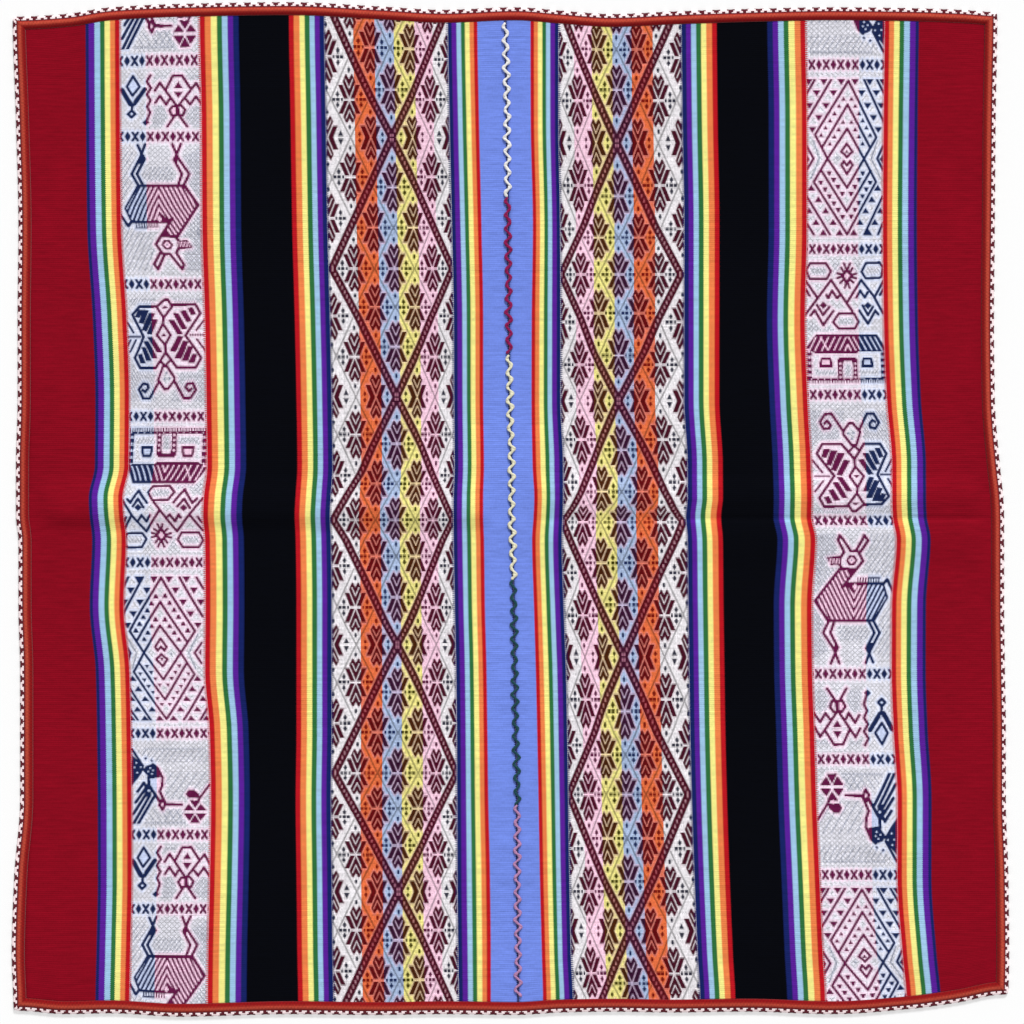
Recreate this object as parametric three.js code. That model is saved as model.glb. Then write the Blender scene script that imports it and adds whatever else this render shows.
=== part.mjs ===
// A woven mesa cloth lying face up on a flat surface. Two warp-faced panels are joined down the
// middle by a zigzag seam worked in five yarns, and a braid is worked along each of the four sides.
// Millimetres. +X runs across the stripes, +Y runs along them, +Z is up from the surface.
import * as THREE from 'three';

// Driving dimensions
const CLOTH_THICKNESS = 1.5;
const GAP = 0.3; // clearance between neighbouring pieces
const BRAID_WIDTH = 7.8; // from the outer edge to the inner side of its roll
const BRAID_LIP = 2.0; // how far the roll laps over the cloth's edge
const BRAID_STRIP_HEIGHT = 2.1;
const BRAID_ROLL_HEIGHT = 3.4;
const CORNER_EASE = 1.4; // how far a corner of the outline is drawn in
const BRAID_WALL = BRAID_WIDTH - BRAID_LIP; // the side of the braid that faces the edge of the cloth
const CLOTH_INSET = BRAID_WALL + GAP; // outer edge of the outline to the edge of the cloth
const SEAM_HALF_WIDTH = 3.4; // reach of the seam stitches to each side
const SEAM_YARN_WIDTH = 1.3;
const SEAM_YARN_HEIGHT = 1.0;
const STITCH_STEP = 3.2; // along the seam, from one turn of the zigzag to the next
const COARSE_STEP = 20; // spacing of the rows of points away from the cross crease
const FINE_STEP = 5; // and close to it
const CREASE_ZONE = 32; // the fine rows reach this far to each side of the crease
const PANEL_COLUMNS = 18;
const END_STEP = 3; // the last station of a braid before its corner
const FOLD_FADE = 18; // length over which a fold dies out at each of its ends

// The two sides and the seam at each height, from the top of the cloth to its bottom.
const SIDES = [
  { y: 294, left: -294.0, seam: -3.0, right: 287.5 },
  { y: 230, left: -292.0, seam: -2.0, right: 286.5 },
  { y: 167, left: -290.5, seam: -1.5, right: 286.0 },
  { y: 112, left: -291.0, seam: -1.0, right: 285.5 },
  { y: 65, left: -291.0, seam: -0.5, right: 286.0 },
  { y: 26, left: -292.0, seam: 0.5, right: 289.0 },
  { y: 7, left: -292.0, seam: 0.5, right: 291.0 },
  { y: -4, left: -292.0, seam: 0.5, right: 291.5 },
  { y: -18, left: -290.5, seam: 1.0, right: 291.5 },
  { y: -57, left: -290.5, seam: 2.0, right: 291.5 },
  { y: -95, left: -289.5, seam: 2.5, right: 292.0 },
  { y: -130, left: -289.5, seam: 3.0, right: 292.5 },
  { y: -171, left: -289.5, seam: 4.0, right: 292.5 },
  { y: -216, left: -293.0, seam: 4.0, right: 294.0 },
  { y: -263, left: -294.5, seam: 4.5, right: 294.5 },
  { y: -292, left: -293.5, seam: 4.5, right: 294.0 },
];

// The top and the bottom edge at each place across the cloth.
const ENDS = [
  { x: -290, top: 291.0, bottom: -296.0 },
  { x: -263, top: 292.5, bottom: -298.0 },
  { x: -236, top: 296.5, bottom: -297.5 },
  { x: -195, top: 298.5, bottom: -299.5 },
  { x: -130, top: 299.5, bottom: -298.0 },
  { x: -77, top: 297.0, bottom: -298.5 },
  { x: -40, top: 295.0, bottom: -298.0 },
  { x: 3, top: 296.5, bottom: -298.5 },
  { x: 30, top: 294.5, bottom: -297.0 },
  { x: 60, top: 292.5, bottom: -296.5 },
  { x: 95, top: 294.0, bottom: -297.0 },
  { x: 140, top: 295.5, bottom: -296.5 },
  { x: 190, top: 296.5, bottom: -298.0 },
  { x: 235, top: 296.0, bottom: -295.0 },
  { x: 265, top: 295.0, bottom: -291.0 },
  { x: 290, top: 293.5, bottom: -286.5 },
];

// Folds and puckers: each is a soft ridge along a line, with its height and its reach to each side.
const FOLDS = [
  { name: 'cross crease, left', from: [-284, -1], to: [-6, -3], height: 2.4, reach: 15 },
  { name: 'cross crease, right, above', from: [8, 10], to: [284, 11], height: 1.9, reach: 13 },
  { name: 'cross crease, right, below', from: [8, -16], to: [284, -15], height: 1.6, reach: 13 },
  { name: 'pucker, left figure band, upper', from: [-214, 150], to: [-228, 18], height: 1.2, reach: 22 },
  { name: 'pucker, left figure band, lower', from: [-230, -60], to: [-214, -180], height: 1.1, reach: 22 },
  { name: 'pucker, left lattice band', from: [-95, 190], to: [-104, 55], height: 0.9, reach: 26 },
  { name: 'pucker, right figure band, upper', from: [214, 80], to: [226, -50], height: 1.2, reach: 20 },
  { name: 'pucker, right figure band, lower', from: [220, -150], to: [238, -282], height: 1.2, reach: 22 },
  { name: 'pucker, right black band', from: [128, -120], to: [136, -270], height: 0.9, reach: 24 },
];

// The yarns of the seam, from the top of the cloth to its bottom: where each starts and ends.
const SEAM_YARNS = [
  { name: 'seam_white', from: 287, to: 184.5, colour: 0xe6e2da },
  { name: 'seam_crimson', from: 184, to: 91.5, colour: 0xb0163a },
  { name: 'seam_ochre', from: 91, to: -41, colour: 0xc49a4a },
  { name: 'seam_green', from: -41.5, to: -174, colour: 0x1f5a48 },
  { name: 'seam_pink', from: -174.5, to: -288, colour: 0xb583ad },
];

// Braid profile as pairs of distance in from the outer edge and height, walked round its section:
// a flat outer strip, then a roll whose lip laps over the edge of the cloth.
const CLOTH_TOP = CLOTH_THICKNESS + GAP;
const ROLL_MIDDLE = (BRAID_STRIP_HEIGHT + BRAID_ROLL_HEIGHT) / 2;
const BRAID_SECTION = [
  [0.0, 0.6],
  [0.6, 0.0],
  [BRAID_WALL, 0.0],
  [BRAID_WALL, CLOTH_TOP],
  [BRAID_WIDTH, CLOTH_TOP],
  [BRAID_WIDTH - 0.4, ROLL_MIDDLE],
  [BRAID_WIDTH - 2.0, BRAID_ROLL_HEIGHT],
  [3.7, BRAID_ROLL_HEIGHT - 0.2],
  [2.9, BRAID_STRIP_HEIGHT],
  [0.5, BRAID_STRIP_HEIGHT - 0.3],
];

// A smooth curve through one column of a table. Its slope at a row is the harmonic mean of the two
// neighbouring slopes, or nought at a crest or a dip, so it never swings past the rows.
function curveThrough(rows, along, column) {
  const knots = [...rows].sort((a, b) => a[along] - b[along]);
  const at = knots.map((row) => row[along]);
  const value = knots.map((row) => row[column]);
  const rise = at.slice(1).map((end, i) => (value[i + 1] - value[i]) / (end - at[i]));
  const slope = value.map((_, i) => {
    if (i === 0 || i === value.length - 1) return 0;
    const product = rise[i - 1] * rise[i];
    return product > 0 ? (2 * product) / (rise[i - 1] + rise[i]) : 0;
  });
  return (position) => {
    const p = THREE.MathUtils.clamp(position, at[0], at[at.length - 1]);
    const i = Math.min(at.filter((start) => start <= p).length, at.length - 1) - 1;
    const span = at[i + 1] - at[i];
    const t = (p - at[i]) / span;
    const stay = (1 + 2 * t) * (1 - t) ** 2;
    const lean = t * (1 - t) ** 2 * slope[i] + t * t * (t - 1) * slope[i + 1];
    return stay * value[i] + (1 - stay) * value[i + 1] + span * lean;
  };
}

const leftEdge = curveThrough(SIDES, 'y', 'left');
const seamLine = curveThrough(SIDES, 'y', 'seam');
const rightEdge = curveThrough(SIDES, 'y', 'right');
const topEdge = curveThrough(ENDS, 'x', 'top');
const bottomEdge = curveThrough(ENDS, 'x', 'bottom');

// Height of the cloth's underside over the surface. Across a fold it is (1 - q squared) squared,
// where q is the distance from the fold's line over its reach, and it fades out at the ends.
function liftAt(x, y) {
  const point = new THREE.Vector2(x, y);
  return FOLDS.reduce((total, fold) => {
    const start = new THREE.Vector2(...fold.from);
    const run = new THREE.Vector2(...fold.to).sub(start);
    const along = point.clone().sub(start).dot(run) / run.length();
    const across = Math.abs(point.clone().sub(start).cross(run)) / run.length();
    const q = Math.min(across / fold.reach, 1);
    const ends = THREE.MathUtils.smoothstep(along, 0, FOLD_FADE)
      * THREE.MathUtils.smoothstep(run.length() - along, 0, FOLD_FADE);
    return total + fold.height * (1 - q * q) ** 2 * ends;
  }, 0);
}

// Rows down the cloth as shares of its length: coarse steps, and fine ones across the crease.
function rowShares() {
  const top = SIDES[0].y;
  const bottom = SIDES[SIDES.length - 1].y;
  const levels = [];
  const fill = (from, to, step) => {
    const count = Math.round((from - to) / step);
    for (let i = 0; i < count; i += 1) levels.push(from + ((to - from) * i) / count);
  };
  fill(top, CREASE_ZONE, COARSE_STEP);
  fill(CREASE_ZONE, -CREASE_ZONE, FINE_STEP);
  fill(-CREASE_ZONE, bottom, COARSE_STEP);
  levels.push(bottom);
  return levels.map((y) => (top - y) / (top - bottom));
}

// The point at a share of the way down the line across(y), which starts and ends `inset` in from
// the top and the bottom edge. Both edges depend on x and the line on y, so it takes a few passes.
function pointDown(across, share, inset) {
  const point = new THREE.Vector2(across(0), 0);
  for (let pass = 0; pass < 4; pass += 1) {
    point.y = THREE.MathUtils.lerp(topEdge(point.x) - inset, bottomEdge(point.x) + inset, share);
    point.x = across(point.y);
  }
  return point;
}

// A closed mesh from corners and triangles, turned inside out if its faces point inwards.
function closedMesh(name, corners, triangles, material) {
  const volume = triangles.reduce((sum, [a, b, c]) => {
    return sum + corners[a].dot(corners[b].clone().cross(corners[c])) / 6;
  }, 0);
  const order = volume < 0 ? triangles.map(([a, b, c]) => [a, c, b]) : triangles;
  const geometry = new THREE.BufferGeometry();
  geometry.setAttribute('position', new THREE.Float32BufferAttribute(corners.flatMap((p) => [p.x, p.y, p.z]), 3));
  geometry.setIndex(order.flat());
  geometry.computeVertexNormals();
  const mesh = new THREE.Mesh(geometry, material);
  mesh.name = name;
  return mesh;
}

// A sheet of even thickness: place(u, v) gives the corner on its underside, its top lies straight
// above, and the rim joins the two.
function sheetMesh(name, columns, rows, place, thickness, material) {
  const corners = [];
  const triangles = [];
  const across = columns.length;
  const perFace = across * rows.length;
  for (const top of [0, thickness]) {
    for (const v of rows) {
      for (const u of columns) corners.push(place(u, v).add(new THREE.Vector3(0, 0, top)));
    }
  }
  const quad = (a, b, c, d) => triangles.push([a, b, c], [a, c, d]);
  const corner = (i, j) => j * across + i;
  for (let j = 0; j < rows.length - 1; j += 1) {
    for (let i = 0; i < across - 1; i += 1) {
      const [a, b, c, d] = [corner(i, j), corner(i + 1, j), corner(i + 1, j + 1), corner(i, j + 1)];
      quad(a, b, c, d);
      quad(perFace + a, perFace + d, perFace + c, perFace + b);
    }
  }
  const rim = [];
  for (let i = 0; i < across - 1; i += 1) rim.push(corner(i, 0));
  for (let j = 0; j < rows.length - 1; j += 1) rim.push(corner(across - 1, j));
  for (let i = across - 1; i > 0; i -= 1) rim.push(corner(i, rows.length - 1));
  for (let j = rows.length - 1; j > 0; j -= 1) rim.push(corner(0, j));
  rim.forEach((a, k) => {
    const b = rim[(k + 1) % rim.length];
    quad(b, a, perFace + a, perFace + b);
  });
  return closedMesh(name, corners, triangles, material);
}

// A solid carried through rings of corners, closed by a flat cap at each end.
function loftMesh(name, rings, section, material) {
  const size = section.length;
  const triangles = [];
  for (let k = 0; k < rings.length - 1; k += 1) {
    for (let i = 0; i < size; i += 1) {
      const next = (i + 1) % size;
      const [a, b] = [k * size + i, k * size + next];
      triangles.push([a, b, b + size], [a, b + size, a + size]);
    }
  }
  const caps = THREE.ShapeUtils.triangulateShape(section.map(([x, y]) => new THREE.Vector2(x, y)), []);
  const last = (rings.length - 1) * size;
  const [first] = caps;
  const turned = new Set(first.map((i, k) => `${i},${first[(k + 1) % 3]}`));
  const sameWay = section.some((_, i) => turned.has(`${i},${(i + 1) % size}`));
  caps.forEach(([a, b, c]) => {
    triangles.push(sameWay ? [a, c, b] : [a, b, c]);
    triangles.push(sameWay ? [last + a, last + b, last + c] : [last + a, last + c, last + b]);
  });
  return closedMesh(name, rings.flat(), triangles, material);
}

const rows = rowShares();
const columns = Array.from({ length: PANEL_COLUMNS + 1 }, (_, i) => i / PANEL_COLUMNS);

// A panel reaches from under the lip of one side braid to the seam.
function panel(name, outer, side, material) {
  const place = (u, v) => {
    const line = (y) => THREE.MathUtils.lerp(outer(y) + side * CLOTH_INSET, seamLine(y) - (side * GAP) / 2, u);
    const { x, y } = pointDown(line, v, CLOTH_INSET);
    return new THREE.Vector3(x, y, liftAt(x, y));
  };
  return sheetMesh(name, columns, rows, place, CLOTH_THICKNESS, material);
}

// The inset of a section point, drawn in a little more where it nears a corner of the cloth.
function easedInset(inset, nearEnd) {
  return inset + (nearEnd ? CORNER_EASE * Math.max(0, 1 - inset / BRAID_WALL) : 0);
}

// Stations along a braid as shares of its length, with one more close to each corner.
function braidStations(shares, length) {
  const close = END_STEP / length;
  return [0, close, ...shares.slice(1, -1), 1 - close, 1];
}

// A side braid carries its section down the outer edge of the cloth, mitred at both ends.
function sideBraid(name, outer, side, material) {
  const stations = braidStations(rows, SIDES[0].y - SIDES[SIDES.length - 1].y);
  const rings = stations.map((share) => BRAID_SECTION.map(([inset, height]) => {
    const eased = easedInset(inset, share === 0 || share === 1);
    const { x, y } = pointDown((level) => outer(level) + side * eased, share, eased + GAP);
    return new THREE.Vector3(x, y, height);
  }));
  return loftMesh(name, rings, BRAID_SECTION, material);
}

// An end braid does the same along the top or the bottom, with a station at each panel column.
function endBraid(name, edge, side, material) {
  const level = edge(0) + side * CLOTH_INSET;
  const from = leftEdge(level) + CLOTH_INSET;
  const to = rightEdge(level) - CLOTH_INSET;
  const middle = seamLine(level);
  const places = [
    ...columns.map((u) => THREE.MathUtils.lerp(from, middle, u)),
    ...columns.slice(1).map((u) => THREE.MathUtils.lerp(middle, to, u)),
  ];
  const stations = braidStations(places.map((x) => (x - from) / (to - from)), to - from);
  const rings = stations.map((share) => BRAID_SECTION.map(([inset, height]) => {
    const eased = easedInset(inset, share === 0 || share === 1);
    const own = edge(0) + side * inset;
    const x = THREE.MathUtils.lerp(leftEdge(own) + eased + GAP, rightEdge(own) - eased - GAP, share);
    return new THREE.Vector3(x, edge(x) + side * eased, height);
  }));
  return loftMesh(name, rings, BRAID_SECTION, material);
}

// One yarn of the seam zigzags over both panels, a flattened strand just clear of their tops.
function seamYarn({ name, from, to, colour }) {
  const turns = Math.floor((from - to) / STITCH_STEP);
  const half = SEAM_YARN_WIDTH / 2;
  const section = [[-half, 0], [half, 0], [half * 0.6, SEAM_YARN_HEIGHT], [-half * 0.6, SEAM_YARN_HEIGHT]];
  const reach = SEAM_HALF_WIDTH - half;
  const slant = Math.hypot(1, (2 * reach) / STITCH_STEP); // a slanted strand is wider when cut level
  const rings = Array.from({ length: turns + 1 }, (_, k) => {
    const y = from - k * STITCH_STEP;
    const x = seamLine(y) + (k % 2 ? reach : -reach);
    const floor = CLOTH_THICKNESS + GAP + Math.max(liftAt(x - half, y), liftAt(x + half, y));
    return section.map(([dx, dz]) => new THREE.Vector3(x + (dx * slant) / 2, y, floor + dz));
  });
  return loftMesh(name, rings, section, yarnMaterial(colour));
}

function yarnMaterial(color) {
  return new THREE.MeshStandardMaterial({ color, roughness: 0.9, metalness: 0 });
}

const cloth = yarnMaterial(0x8f0a1e);
const braid = yarnMaterial(0xb4402c);
const group = new THREE.Group();
group.add(
  panel('left_panel', leftEdge, 1, cloth),
  panel('right_panel', rightEdge, -1, cloth),
  sideBraid('braid_left', leftEdge, 1, braid),
  sideBraid('braid_right', rightEdge, -1, braid),
  endBraid('braid_top', topEdge, -1, braid),
  endBraid('braid_bottom', bottomEdge, 1, braid),
  ...SEAM_YARNS.map(seamYarn),
);

export default group;
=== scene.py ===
"""A woven mesa cloth, dressed: two warp-faced panels joined by a zigzag seam of five yarns, each
with a figure band and a lattice band, and a braid worked round the edge. It lies on a pale floor
under soft light. Lengths are in millimetres until a mesh is made."""
import math

import bpy
import numpy as np
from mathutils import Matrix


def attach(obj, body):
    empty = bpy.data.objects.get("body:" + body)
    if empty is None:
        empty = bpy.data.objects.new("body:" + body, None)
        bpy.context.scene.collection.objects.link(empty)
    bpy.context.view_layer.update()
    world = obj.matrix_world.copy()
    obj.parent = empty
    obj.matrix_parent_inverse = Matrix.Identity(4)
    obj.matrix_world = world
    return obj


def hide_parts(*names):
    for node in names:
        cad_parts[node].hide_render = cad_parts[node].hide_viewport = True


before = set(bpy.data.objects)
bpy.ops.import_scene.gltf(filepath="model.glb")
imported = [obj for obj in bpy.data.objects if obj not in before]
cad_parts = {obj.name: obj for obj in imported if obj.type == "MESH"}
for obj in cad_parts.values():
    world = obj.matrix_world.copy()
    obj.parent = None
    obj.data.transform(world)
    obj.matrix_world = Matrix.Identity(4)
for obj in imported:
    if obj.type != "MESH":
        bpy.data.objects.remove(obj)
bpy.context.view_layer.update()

MM = 0.001
CLOTH_THICKNESS = 1.5
CLOTH_INSET = 6.1  # outer edge of the outline to the edge of the cloth
GAP = 0.04  # between the two panels
FOLD_FADE = 18.0  # each end of a fold fades out over this length
RIPPLE = 0.16  # height of the slight unevenness between the folds
TOP_ROW, BOTTOM_ROW, PICKS = 289.4, -291.4, 490
PICK = (TOP_ROW - BOTTOM_ROW) / PICKS
PANEL_WIDTH = 290.4  # woven width of a panel, from the outer edge to the seam
END_PULL = 45.0  # the rows bend to the outline over this length at each end
BAND_PROUD = 0.07  # a patterned band stands this far over the plain weave
BAND_DEPTH = 0.6
BAND_TRIM = 0.001  # share of a band's width that is left free at each of its edges
MAP_ACROSS, MAP_DOWN = 300.0, 600.0  # the weave's map takes in this much of a panel
rng = np.random.default_rng(7)

# Levels down the cloth at which its lines were measured, then the two sides and the seam there.
LEVELS = [294, 230, 167, 112, 65, 26, 7, -4, -18, -57, -95, -130, -171, -216, -263, -292]
LEFT = [-294.0, -292.0, -290.5, -291.0, -291.0, -292.0, -292.0, -292.0,
        -290.5, -290.5, -289.5, -289.5, -289.5, -293.0, -294.5, -293.5]
SEAM = [-3.0, -2.0, -1.5, -1.0, -0.5, 0.5, 0.5, 0.5, 1.0, 2.0, 2.5, 3.0, 4.0, 4.0, 4.5, 4.5]
RIGHT = [287.5, 286.5, 286.0, 285.5, 286.0, 289.0, 291.0, 291.5,
         291.5, 291.5, 292.0, 292.5, 292.5, 294.0, 294.5, 294.0]
PLACES = [-290, -263, -236, -195, -130, -77, -40, 3, 30, 60, 95, 140, 190, 235, 265, 290]
TOP = [291.0, 292.5, 296.5, 298.5, 299.5, 297.0, 295.0, 296.5,
       294.5, 292.5, 294.0, 295.5, 296.5, 296.0, 295.0, 293.5]
BOTTOM = [-296.0, -298.0, -297.5, -299.5, -298.0, -298.5, -298.0, -298.5,
          -297.0, -296.5, -297.0, -296.5, -298.0, -295.0, -291.0, -286.5]
# Folds and puckers: the line's two ends, the height, and the reach above it (or left of it) and below.
FOLDS = [
    ((-284, 0), (-6, -1), 2.8, 22, 13), ((8, 8), (284, 9), 2.1, 14, 12), ((8, -19), (284, -18), 1.4, 13, 18),
    ((8, -5.5), (286, -5), 0.9, 16, 16), ((8, -5.6), (286, -5.1), -0.8, 3, 3),
    ((-214, 150), (-228, 18), 1.2, 22, 22), ((-230, -60), (-214, -180), 1.1, 22, 22),
    ((-95, 190), (-104, 55), 0.9, 26, 26), ((214, 80), (226, -50), 1.2, 20, 20),
    ((220, -150), (238, -282), 1.2, 22, 22), ((128, -120), (136, -270), 0.9, 24, 24),
]
# Sway of five lines of each panel away from straight, at the levels above.
SWAYS = {
    "left": [
        [0, 0.3, 1.0, 4.3, 5.8, 5.5, 2.1, 2.6, 3.9, 2.5, 6.0, 6.8, 7.2, 7.3, 6.4, 5.9],
        [-1.2, -0.1, 0.3, 1.9, 2.75, 3.2, 1.3, 0.9, 1.9, 2.2, 1.9, 4.6, 5.4, 4.75, 3.75, 3.5],
        [-1, 0, 1, 2.5, 3.5, 4, 3, 2.5, 3, 3.5, 3.5, 3.5, 3, 3.5, 4, 4.5],
        [-1, 0, 1.5, 2.5, 2.5, 3, 2.5, 2.5, 3, 3.5, 4.5, 5, 5.5, 6.5, 7, 7],
        [-1, 0, 1.4, 2.5, 2.7, 3, 2.4, 2.3, 2.4, 3.1, 3.9, 4.3, 4.5, 4.6, 5.1, 5.5],
    ],
    "right": [
        [0.3, -0.4, -0.85, -0.25, 1.5, 4.5, 4.4, 4.9, 7.1, 4.5, 4.35, 5.5, 7.8, 7.7, 10.8, 13.4],
        [-0.6, 0.35, 0.4, -0.7, 0.8, 2.8, 3.2, 3.1, 5.4, 3.3, 3.6, 4.75, 5.95, 7.85, 9.85, 11.3],
        [-0.6, 0, 1, 1, 1, 3, 3, 2, 3, 3.5, 4, 4.5, 5.5, 7, 9, 10.5],
        [0.4, 0.5, 1.8, 1.1, 1.0, 1.6, 2.6, 2.2, 1.3, 2.4, 3.5, 4.3, 5.1, 5.9, 7.1, 7.8],
        [0, 0, 1, 1.2, 1.2, 2.8, 2.8, 2.5, 2.0, 3.1, 4.5, 5.2, 5.8, 6.5, 7.4, 8.7],
    ],
}
# Lines of the weave: distance in from the outer edge, which sway it follows, place left and right.
LINES = [
    (43.5, 0, -250.8, 240.7), (64.0, 0, -230.7, 220.5), (111.0, 1, -182.3, 174.6),
    (134.0, 1, -159.3, 152.1), (162.7, 2, -129.8, 122.3), (184.7, 2, -109.0, 101.5),
    (257.4, 4, -36.1, 28.4), (274.5, 3, -18.7, 11.5),
]
FIGURE_BAND = (64.0, 111.0)
LATTICE_BAND = (184.7, 257.4)


def linear(colour):
    """Linear red, green and blue of an sRGB colour written as hexadecimal digits."""
    values = np.array([int(colour[i:i + 2], 16) for i in (0, 2, 4)]) / 255.0
    return np.where(values <= 0.04045, values / 12.92, ((values + 0.055) / 1.055) ** 2.4)


def curve_through(at, value):
    """Smooth curve through knots: cubic from knot to knot, with a slope at each knot that is the
    harmonic mean of its two neighbouring slopes, or nought at a crest, a dip or an end."""
    order = np.argsort(at)
    at, value = np.array(at, float)[order], np.array(value, float)[order]
    rise = np.diff(value) / np.diff(at)
    product, total = rise[:-1] * rise[1:], rise[:-1] + rise[1:]
    slope = np.zeros_like(value)
    slope[1:-1] = np.where(product > 0, 2 * product / np.where(product > 0, total, 1), 0)

    def curve(position):
        p = np.clip(position, at[0], at[-1])
        i = np.clip(np.searchsorted(at, p, side="right") - 1, 0, len(at) - 2)
        span = at[i + 1] - at[i]
        t = (p - at[i]) / span
        stay = (1 + 2 * t) * (1 - t) ** 2
        lean = t * (1 - t) ** 2 * slope[i] + t * t * (t - 1) * slope[i + 1]
        return stay * value[i] + (1 - stay) * value[i + 1] + span * lean

    return curve


left_edge, seam_line, right_edge = (curve_through(LEVELS, column) for column in (LEFT, SEAM, RIGHT))
top_edge, bottom_edge = curve_through(PLACES, TOP), curve_through(PLACES, BOTTOM)


def smooth(share):
    """Nought below 0, one above 1, and 3 s squared less 2 s cubed between them."""
    s = np.clip(share, 0, 1)
    return s * s * (3 - 2 * s)


def lift_at(x, y):
    """Height of the cloth's underside: for each fold (1 - q squared) squared, where q is the
    distance from its line over its reach on that side, faded out at both of its ends."""
    total = np.zeros(np.broadcast(x, y).shape)
    for (x0, y0), (x1, y1), height, above, below in FOLDS:
        run = math.hypot(x1 - x0, y1 - y0)
        along = ((x - x0) * (x1 - x0) + (y - y0) * (y1 - y0)) / run
        beside = ((y - y0) * (x1 - x0) - (x - x0) * (y1 - y0)) / run
        q = np.minimum(np.abs(beside) / np.where(beside > 0, above, below), 1)
        total += height * (1 - q * q) ** 2 * smooth(along / FOLD_FADE) * smooth((run - along) / FOLD_FADE)
    return total


def ripple_at(x, y):
    """Slight unevenness of the cloth: three long waves that cross at angles, faded out near the
    braid and the seam."""
    waves = (0.5 + 0.5 * np.sin(x / 7.3 + 1.7 * np.sin(y / 41.0)) * np.sin(y / 47.0 + x / 90.0)
             + 0.4 * np.sin(y / 11.0 + 0.9 * np.sin(x / 37.0)) * np.sin(x / 29.0))
    inner = np.minimum(np.minimum(x - left_edge(y), right_edge(y) - x),
                       np.minimum(top_edge(x) - y, y - bottom_edge(x)))
    edge = smooth((inner - 8) / 14) * smooth((np.abs(x - seam_line(y)) - 4) / 12)
    return RIPPLE * np.clip(waves, -0.2, 1.6) * edge


def woven_place(panel, a, level):
    """Place on the surface of the warp at distance a in from a panel's outer edge, at a level down
    the cloth. Between two neighbouring lines of the weave x runs in even steps. Near the top and
    the bottom the level is drawn over to the outline."""
    a, level = np.broadcast_arrays(np.asarray(a, float), np.asarray(level, float))
    outer, side = (left_edge, 1) if panel == "left" else (right_edge, -1)
    sways = [curve_through(LEVELS, column) for column in SWAYS[panel]]
    stops = np.array([0.0] + [line[0] for line in LINES] + [PANEL_WIDTH])

    def across(y):
        lines = [outer(y)]
        lines += [(line[2] if panel == "left" else line[3]) + sways[line[1]](y) for line in LINES]
        lines += [seam_line(y) - side * GAP / 2]
        lines = np.stack(lines)
        i = np.clip(np.searchsorted(stops, a, side="right") - 1, 0, len(stops) - 2)
        share = (a - stops[i]) / (stops[i + 1] - stops[i])
        low = np.take_along_axis(lines, i[None], 0)[0]
        high = np.take_along_axis(lines, i[None] + 1, 0)[0]
        return low + (high - low) * share

    x = across(level)
    y = (level
         + (top_edge(x) - CLOTH_INSET - TOP_ROW) * smooth((level - TOP_ROW + END_PULL) / END_PULL)
         + (bottom_edge(x) + CLOTH_INSET - BOTTOM_ROW) * smooth((BOTTOM_ROW + END_PULL - level) / END_PULL))
    return across(y), y


def new_piece(name, points, faces, material, uv=None, colours=None):
    """A mesh object at the origin from points in millimetres and faces as rows of corners. uv has
    a row for each point, and colours a row for each face."""
    mesh = bpy.data.meshes.new(name)
    mesh.from_pydata((np.asarray(points) * MM).tolist(), [], faces)
    mesh.update()
    corners = np.empty(len(mesh.loops), int)
    mesh.loops.foreach_get("vertex_index", corners)
    if uv is not None:
        layer = mesh.uv_layers.new(name="weave")
        layer.data.foreach_set("uv", np.asarray(uv, float)[corners].ravel())
    if colours is not None:
        sizes = np.empty(len(mesh.polygons), int)
        mesh.polygons.foreach_get("loop_total", sizes)
        layer = mesh.color_attributes.new("yarn", "FLOAT_COLOR", "CORNER")
        rows = np.column_stack([np.repeat(colours, sizes, axis=0), np.ones(len(corners))])
        layer.data.foreach_set("color", rows.ravel())
    mesh.polygons.foreach_set("use_smooth", np.ones(len(mesh.polygons), bool))
    mesh.materials.append(material)
    piece = bpy.data.objects.new(name, mesh)
    bpy.context.scene.collection.objects.link(piece)
    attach(piece, "root")
    return piece


def quads(first, across, down):
    """Corner rows of a grid's faces, for points in rows of `across` from number `first` on."""
    j, i = np.mgrid[0:down - 1, 0:across - 1]
    start = first + (j * across + i).ravel()
    return np.column_stack([start, start + across, start + across + 1, start + 1])


def closed_sheet(name, x, y, bottom, top, material, uv, step, turned, colours=None):
    """A closed sheet over a grid of places: its top face has every column, its underside every
    step-th one, straight below, and a wall joins the two all round. turned is for a grid whose
    columns run from right to left."""
    down, across = x.shape
    kept = np.arange(0, across, step)
    under = len(kept)
    points = np.concatenate([
        np.column_stack([x.ravel(), y.ravel(), top.ravel()]),
        np.column_stack([x[:, kept].ravel(), y[:, kept].ravel(), bottom[:, kept].ravel()]),
    ])
    uvs = np.concatenate([uv.reshape(-1, 2), uv[:, kept].reshape(-1, 2)])
    count = down * across
    upper = quads(0, across, down)
    lower = quads(count, under, down)[:, ::-1]
    rows = np.arange(down - 1)
    sides = []
    for upper_column, lower_column, flip in ((0, 0, False), (across - 1, under - 1, True)):
        a, b = rows * across + upper_column, (rows + 1) * across + upper_column
        c, d = count + (rows + 1) * under + lower_column, count + rows * under + lower_column
        wall = np.column_stack([a, d, c, b])
        sides.append(wall[:, ::-1] if flip else wall)
    ends = []
    for row, flip in ((0, False), (down - 1, True)):
        for k in range(under - 1):
            over, below = row * across + k * step, count + row * under + k
            end = [*range(over, over + step + 1), below + 1, below]
            ends.append(end[::-1] if flip else end)
    faces = np.concatenate([upper, lower] + sides).tolist() + ends
    if turned:
        faces = [face[::-1] for face in faces]
    shades = None
    if colours is not None:
        rest = np.tile(colours[:1], (len(faces) - len(upper), 1))
        shades = np.concatenate([colours, rest])
    return new_piece(name, points, faces, material, uv=uvs, colours=shades)


# Materials

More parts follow.
